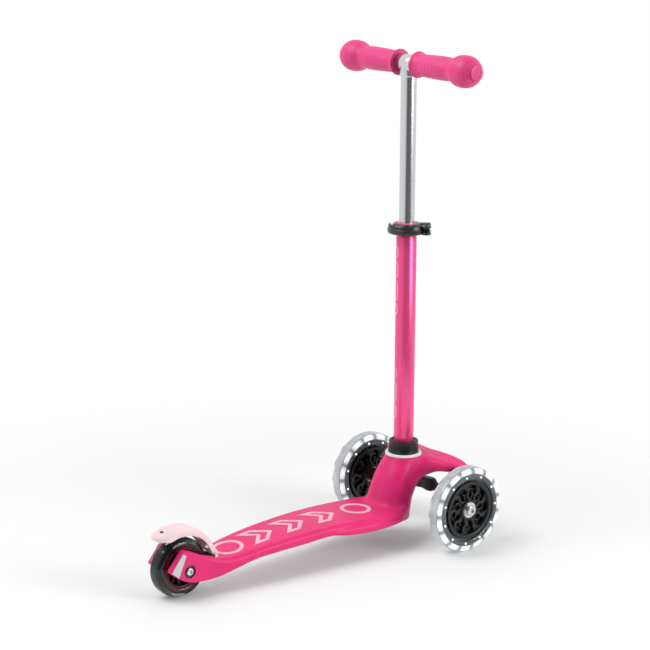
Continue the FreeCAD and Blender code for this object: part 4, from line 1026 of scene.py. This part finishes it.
def front_wheel(side, sign):
    """Tyre, light ring, diodes, core, spokes and axle bolt of one front wheel."""
    place, body, bed = FRONT_AXLE[side], f"{side}_wheel", 44.1

    def spun(name, section, finish, slot, replaces=(), steps=LATHE_STEPS):
        return lathe(f"{side}_{name}", section, place, finish, body, slot, replaces, "y", steps=steps)

    spun("tyre_clear", tyre_section(bed, FRONT_RADIUS, 12, 8), CLEAR_TYRE, "clear_tyre",
         (f"{side}_tyre",), 160)
    half_guide = [(51.6, 8.6), (52.4, 9.6), (55.0, 9.2), (56.8, 7.2)]
    # the light guide, whose glow is painted as emission
    guide = spun("light_guide", [(r, -a) for r, a in half_guide] + half_guide[::-1], LIGHT_GUIDE,
                 "light_ring", (), 300)
    glow = guide.data.attributes.new("glow", "FLOAT", "POINT")
    angles = [math.atan2(v.co.z / MM - place.z, v.co.x / MM - place.x) for v in guide.data.vertices]
    glow.data.foreach_set("value", [0.5 + 0.5 * math.cos(GUIDES * a) for a in angles])
    # a pale grey ring just inside the tread, with painted glow, stands for the grey edge of the clear resin
    spun("tread_painted_grey_ring", hub_section(58.8, 6.4, 57.5), TREAD_PAINTED_GREY_GLOW, "clear_tyre")
    # thin grey wires at the tyre's shoulders and inner edges are painted dark lines for the shade at the
    # resin's edges
    wires = [turned(arc((radius, along), 0.35, 0, 300, 5), place, "y", 160)
             for radius, along in ((58.8, -7.6), (58.8, 7.6), (45.6, -11.2), (45.6, 11.2))]
    piece(f"{side}_painted_dark_edge_lines", *gather(*wires), GREY_BAND_AND_EDGE_SHADE, body, "clear_tyre")
    half_band = [(bed + 0.1, 5.9), (bed + 0.2, 9.8), (50.6, 10.2), (51.2, 9.6)]
    spun("diode_band", [(41.1, -5.9)] + [(r, -a) for r, a in half_band] + half_band[::-1] + [(41.1, 5.9)],
         GREY_BAND_AND_EDGE_SHADE, "light_ring", (f"{side}_light_ring",))
    spot = arc((47.8, 0), 1.3, 0, 345, 11)
    dot = gather(*(slab(spot, low, low + 1.1, 0.2, upright) for low in (-11.2, 10.1)))
    ring_of(f"{side}_diodes", dot, DIODES, place, DIODE, body, "light_ring")
    half_rim = [(35.2, 9.2), (35.8, 10.4), (37.0, 11.0), (39.6, 11.3), (40.6, 11.0), (41, 10.2)]
    rim = [(r, -a) for r, a in half_rim] + half_rim[::-1]
    sections = ((rim, 120), (hub_section(14, 10.4, 11.05), 72), (hub_section(36, 2, 12), 96),
                ([(28.4, -5), (29.8, -5), (29.8, 5), (28.4, 5)], 96))
    core = gather(*(turned(section, place, "y", steps) for section, steps in sections))
    piece(f"{side}_wheel_core_moulding", *core, HUB_BLACK, body, "black_plastic", (f"{side}_wheel_core",))
    ring_of(f"{side}_spokes", spoke_set(8.6), SPOKE_SETS, place, HUB_BLACK, body, "black_plastic")
    bolt_low, bolt_high = (corner.y for corner in span(f"{side}_axle_bolt"))
    root, reach = (bolt_low if sign > 0 else bolt_high), bolt_high - bolt_low
    head = [(0, 0), (3.9, 0), (3.9, reach - 3.5), (7.5, reach - 3.5), (7.5, reach - 1.6)]
    head += arc((6.0, reach - 1.5), 1.5, 0, 90, 5)
    head += [(4.0, reach), (3.6, reach - 0.4), (3.6, reach - 2.4), (0, reach - 2.4)]
    lathe(f"{side}_axle_bolt_button", head, (place.x, root, place.z), ZINC_STEEL, f"{side}_knuckle", "steel",
          (f"{side}_axle_bolt",), "y", sign, 72)


GUIDES, DIODES, SPOKE_SETS = 15, 11, 9
for side, sign in SIDES.items():
    front_wheel(side, sign)
print("front wheels made")

# %% [markdown]
# The rear wheel is smaller and has no lights. Its tyre is dyed a smoky grey, and thin red-brown rings of
# tinted resin show round the core on both sides, with a dark band between them.

# %% Rear wheel
lathe("rear_tyre_smoke", tyre_section(27.1, REAR_RADIUS, 12, 8), REAR_AXLE, SMOKE_TYRE, "rear_wheel",
      "smoke_tyre", ("rear_tyre",), "y", steps=144)
red = [turned([(low, side * 11.2), (high, side * 11.2), (high, side * 11.7), (low, side * 11.7)],
              REAR_AXLE, "y") for low, high in ((27.3, 28.0), (29.7, 31.0)) for side in (-1, 1)]
piece("rear_tinted_rings", *gather(*red), RED_RING, "rear_wheel", "smoke_tyre")
lathe("rear_dark_band", hub_section(33.5, 10.9, 28.2), REAR_AXLE, GLOSS_BLACK, "rear_wheel", "smoke_tyre",
      axis="y")
half_rim = [(22.2, 8.6), (23, 10.4), (24.5, 11.2), (26.4, 11.2), (26.9, 10.4)]
core = [turned([(r, -a) for r, a in half_rim] + half_rim[::-1], REAR_AXLE, "y"),
        turned(hub_section(13.8, 10.4, 11.05), REAR_AXLE, "y", 72),
        turned(hub_section(23, 2, 12), REAR_AXLE, "y")]
piece("rear_wheel_core_moulding", *gather(*core), HUB_BLACK, "rear_wheel", "black_plastic",
      ("rear_wheel_core",))
rear_vane = slab(vane([polar(13 + 10 * s / 8, 24 * s / 8) for s in range(9)], 2.4), -8, 8, 0.6, upright)
ring_of("rear_spokes", rear_vane, 12, REAR_AXLE, HUB_BLACK, "rear_wheel", "black_plastic")
print("rear wheel made")

# %% [markdown]
# ## The brake
# The brake is a pale pink guard that hugs the rear tyre and is trodden on at its lip. Its side is one
# outline, given a width with round edges, and hollowed where the wheel runs. A barrel at its front end
# takes the hinge pin.

# %% Brake
GUARD = [(-40.5, 86.5), (-38.6, 89.4), (-33, 91.2), (-26, 92.2), (-16.5, 95.1), (-5.4, 96), (5.7, 95.5),
         (16.9, 92.8), (28.1, 86.8), (37.1, 79), (43.9, 70.6), (50.0, 60.6), (53.2, 52.2), (50, 45.6),
         (44, 44), (41, 47), (33, 51), (31, 55.8), (26, 65.8), (17, 74), (8, 78.4), (-6.7, 78.8),
         (-21, 78.6), (-32, 80.6), (-38.5, 83.6)]
guard_low, guard_high = span("brake")
GUARD_HALF = guard_high.y
PIVOT = Vector(next(j["pos_m"] for j in frame["joints"] if j["name"] == "brake_pedal")) / MM


def guard_field(x, y, z):
    """The guard's outline with a width, hollowed for the wheel, with a barrel for the pin."""
    u, side = x - AFT, np.abs(y)
    flat = outline_distance(GUARD, u, z)
    half = GUARD_HALF * np.sqrt(1 - np.clip((-u - 23) / 17.8, 0, 0.995) ** 2)
    shell = trim(flat, side - half, 7)
    hollow = trim(np.hypot(u, z - REAR_RADIUS) - 52.6, side - 12.7, 3)
    shell = trim(shell, -hollow, 0.8)
    barrel = np.maximum(np.hypot(x - PIVOT.x, z - PIVOT.z) - 6.9, side - 14.8)
    whole = meld(shell, barrel, 5)
    whole = trim(whole, -(np.hypot(u, z - REAR_RADIUS) - 44.9), 0.6)
    clear_spring = np.maximum(np.maximum(side - 4.6, z - PIVOT.z - 7.5), np.abs(x - PIVOT.x) - 20)
    return np.maximum(np.maximum(whole, -clear_spring), -(np.hypot(x - PIVOT.x, z - PIVOT.z) - 2.6))


points, quads = skin_of(guard_field, (guard_low.x - 2, -17, guard_low.z - 2), (guard_high.x + 2, 17, 98),
                        0.9)
piece("brake_guard", points.tolist(), quads.tolist(), BRAKE_NYLON, "brake", "pale_plastic", ("brake",), 45)
print("brake", len(quads), "quads")

# %% [markdown]
# ## The steering link
# Under the bridge a black bar ties the two knuckles together, so that both wheels turn alike when the rider
# leans. It has a thick block in the middle and an eye at each end.

# %% Tie bar
bar_low, bar_high = span("tie_bar")
BAR_PIN = Vector(next(j["pos_m"] for j in frame["joints"] if j["child"] == "tie_bar")) / MM
bar_x, bar_z = (bar_low.x + bar_high.x) / 2 - 1.2, (bar_low.z + bar_high.z) / 2
BAR = [(0, 5.2, 8.6, 2.5), (20, 5.2, 8.6, 2.5), (25, 4.2, 5.0, 2), (31, 4.2, 4.6, 2), (36, 5.0, 6.6, 2.4),
       (52, 5.0, 6.8, 2.4), (60, 3.6, 6.6, 2)]


def bar_field(x, y, z):
    """A beam with a block in the middle, and a sloping eye at each end for the knuckle's pin."""
    side = np.abs(y)
    beam = round_box(x - bar_x, z - bar_z, -curve(BAR, 1, side), curve(BAR, 1, side), -curve(BAR, 2, side),
                     curve(BAR, 2, side), curve(BAR, 3, side))
    beam = trim(beam, side - 63, 2)
    ahead = ((x - BAR_PIN.x) + (z - BAR_PIN.z)) / math.sqrt(2)
    across = ((z - BAR_PIN.z) - (x - BAR_PIN.x)) / math.sqrt(2)
    eye = trim(np.hypot(across, side - BAR_PIN.y) - 7.8, np.abs(ahead - 9.4) - 2.8, 1)
    arm = trim(round_box(ahead, across, 6.6, 12.2, -6.6, 6.6, 1.5), np.abs(side - 58) - 12, 1)
    whole = meld(meld(eye, arm, 2), beam, 4)
    rib = np.maximum(np.abs(np.abs(y) - 12) - 1.0, np.abs(z - bar_z) - 9.2)
    rib = trim(rib, np.abs(x - bar_x) - 5.8, 0.8)
    return np.maximum(meld(whole, rib, 1.0), -(np.hypot(across, side - BAR_PIN.y) - 3.05))


points, quads = skin_of(bar_field, (bar_low.x - 2, -80, bar_low.z - 3), (bar_high.x + 2, 80, bar_high.z + 3),
                        1.0)
inside = np.clip(points, np.array(bar_low) + 0.02, np.array(bar_high) - 0.02)
piece("tie_bar_moulding", inside.tolist(), quads.tolist(), BLACK_NYLON, "tie_bar", "black_plastic",
      ("tie_bar",))
print("tie bar", len(quads), "quads")

# %% [markdown]
# ## The clamp
# Where the silver tube enters the pink one, a hinged lever clamps a collar round both. The collar is a
# glossy black ring with a groove and two prongs for the bolt. The lever is a band that hugs the collar and
# ends in a round tip.

# %% Clamp collar
clamp_low, clamp_high = (corner.z for corner in span("clamp_collar"))
CLAMP_MID = (clamp_low + clamp_high) / 2
CLAMP_TURN = math.radians(-39.5)


def about_steerer(a, b, z):
    """A point of the clamp, drawn with its slit along +X, turned to its place."""
    c, s = math.cos(CLAMP_TURN), math.sin(CLAMP_TURN)
    return (STEERER_X + a * c - b * s, a * s + b * c, z)


hoop = [(14.06, clamp_low + 0.5), (14.6, clamp_low), (17.2, clamp_low)]
hoop += arc((17.2, clamp_low + 2.2), 2.2, -90, 0, 6) + [(19.45, clamp_low + 4.6), (18.7, clamp_low + 5.4)]
hoop += [(18.7, clamp_high - 5.4), (19.45, clamp_high - 4.6)] + arc((17.2, clamp_high - 2.2), 2.2, 0, 90, 6)
hoop += [(14.6, clamp_high), (14.06, clamp_high - 0.5)]
parts = [turned(hoop, (STEERER_X, 0, 0), "z", 120)]
for side in SIDES.values():
    lug = soften([(15.4, side * 1.0), (15.4, side * 6.0), (29.5, side * 5.9), (33, side * 4.4),
                  (33, side * 1.0)], 1.6, 3)
    for low, high in ((clamp_low, CLAMP_MID - 2.6), (CLAMP_MID + 2.6, clamp_high)):
        parts.append(slab(lug, low, high, 1.3, about_steerer))
    heel = [(15.4, side * 1.0), (15.4, side * 6.0), (21.5, side * 5.9), (21.5, side * 1.0)]
    parts.append(slab(heel, CLAMP_MID - 3.4, CLAMP_MID + 3.4, 0.4, about_steerer))
piece("clamp_collar_moulding", *gather(*parts), GLOSS_BLACK, "chassis", "black_plastic",
      ("clamp_collar",), 50)
print("clamp parts", len(parts))

# %% [markdown]
# The lever is the band that a thumb pulls open. It starts in two ears on the hinge pin, follows the collar
# more than halfway round and ends in a round tip, so its section is swept and shrinks over the last few
# degrees.

# %% Clamp lever
LEVER_EYE = (26, -14)
TIP_DEGREES = 11
lever_low, lever_high = (corner.z for corner in span("clamp_lever"))


def lever_band(start, end, steps=90):
    """A rounded band round the collar whose far end tapers to a round tip."""
    tall = (lever_high - lever_low) / 2
    section = [(20.75, -tall + 2.0), (22.0, -tall + 0.3), (24.6, -tall), (26.2, -tall + 1.2),
               (26.5, -tall + 3.6), (26.4, 0.2), (25.7, 0.7), (25.5, 1.4), (25.6, tall - 3.0),
               (25.2, tall - 1.2), (24.0, tall), (22.0, tall - 0.2), (20.75, tall - 2.0)]
    rows = []
    for step in range(steps + 1):
        angle = start + (end - start) * step / steps
        left = (1 - step / steps) * abs(end - start)
        size = math.sqrt(max(0.02, 1 - max(0, 1 - left / TIP_DEGREES) ** 2))
        rows.append([about_steerer(*polar(23.6 + (radius - 23.6) * size, angle), CLAMP_MID + up * size)
                     for radius, up in section])
    return loft(rows)


parts = [lever_band(-31, -197)]
for low, high in ((lever_low, CLAMP_MID - 2.9), (CLAMP_MID + 2.9, lever_high)):
    ear = [(LEVER_EYE[0] + x, LEVER_EYE[1] + y) for x, y in arc((0, 0), 6.9, -170, 175, 30)]
    parts.append(slab(ear, low, high, 1.2, about_steerer))
piece("clamp_lever_moulding", *gather(*parts), GLOSS_BLACK, "clamp_lever", "black_plastic",
      ("clamp_lever",), 50)
print("lever from z", round(lever_low, 1), "to", round(lever_high, 1))

# %% [markdown]
# ## The rear axle's ends
# The axle bolt sits in a black cup, sunk into the fork, and only its bright button shows. The button has a
# socket for the key.

# %% Rear axle bolt
bolt_low, bolt_high = (corner.y for corner in span("rear_axle_bolt"))
reach = bolt_high - bolt_low
button = [(0, 0), (3.9, 0), (3.9, reach - 3), (5.2, reach - 3), (5.2, reach - 1.6)]
button += arc((3.9, reach - 1.3), 1.3, 0, 90, 5)
button += [(2.8, reach), (2.6, reach - 0.4), (2.6, reach - 2.0), (0, reach - 2.0)]
lathe("rear_axle_bolt_button", button, (AFT, bolt_high, REAR_RADIUS), ZINC_STEEL, "chassis", "steel",
      ("rear_axle_bolt",), "y", -1, 72)
print("rear bolt", round(reach, 1), "mm long")

# %% [markdown]
# The parts that are only glimpsed keep the CAD model's own shape and take a finish: steel for bearings,
# pins and washers, black nylon for the knuckles, copper for the small windings that light the wheels.

# %% Finishes for the parts kept from the CAD model
KEPT = {
    # the guide bush takes a pink that is painted light from the tube round it
    BUSH_PAINTED_PINK_LIGHT: ["guide_bush"], WHITE_PLASTIC: ["upper_tube_foot"], GLOSS_BLACK: ["rear_axle_cups"],
    ZINC_STEEL: ["rear_bearings", "rear_axle_spacers", "rear_axle_nut", "brake_shoe", "brake_pin",
                 "brake_spring"],
    BLACK_STEEL: ["brake_rivet", "tie_bar_pins", "clamp_eye_bolt", "clamp_nut", "clamp_hinge_pin"],
    BLACK_NYLON: [], COPPER_RING: [], REFLECTOR_FILM: [],
}
PAIRED = {BLACK_NYLON: ["knuckle"], COPPER_RING: ["dynamo_ring"], REFLECTOR_FILM: ["reflector"],
          ZINC_STEEL: ["bearings", "axle_washer"], BLACK_STEEL: ["kingpin"]}
for finish, names in PAIRED.items():
    KEPT[finish] += [f"{side}_{name}" for side in SIDES for name in names]
for finish, names in KEPT.items():
    for name in names:
        kept = NODES[name].data
        kept.materials.clear()
        kept.materials.append(finish)
print("kept nodes", sum(len(names) for names in KEPT.values()))
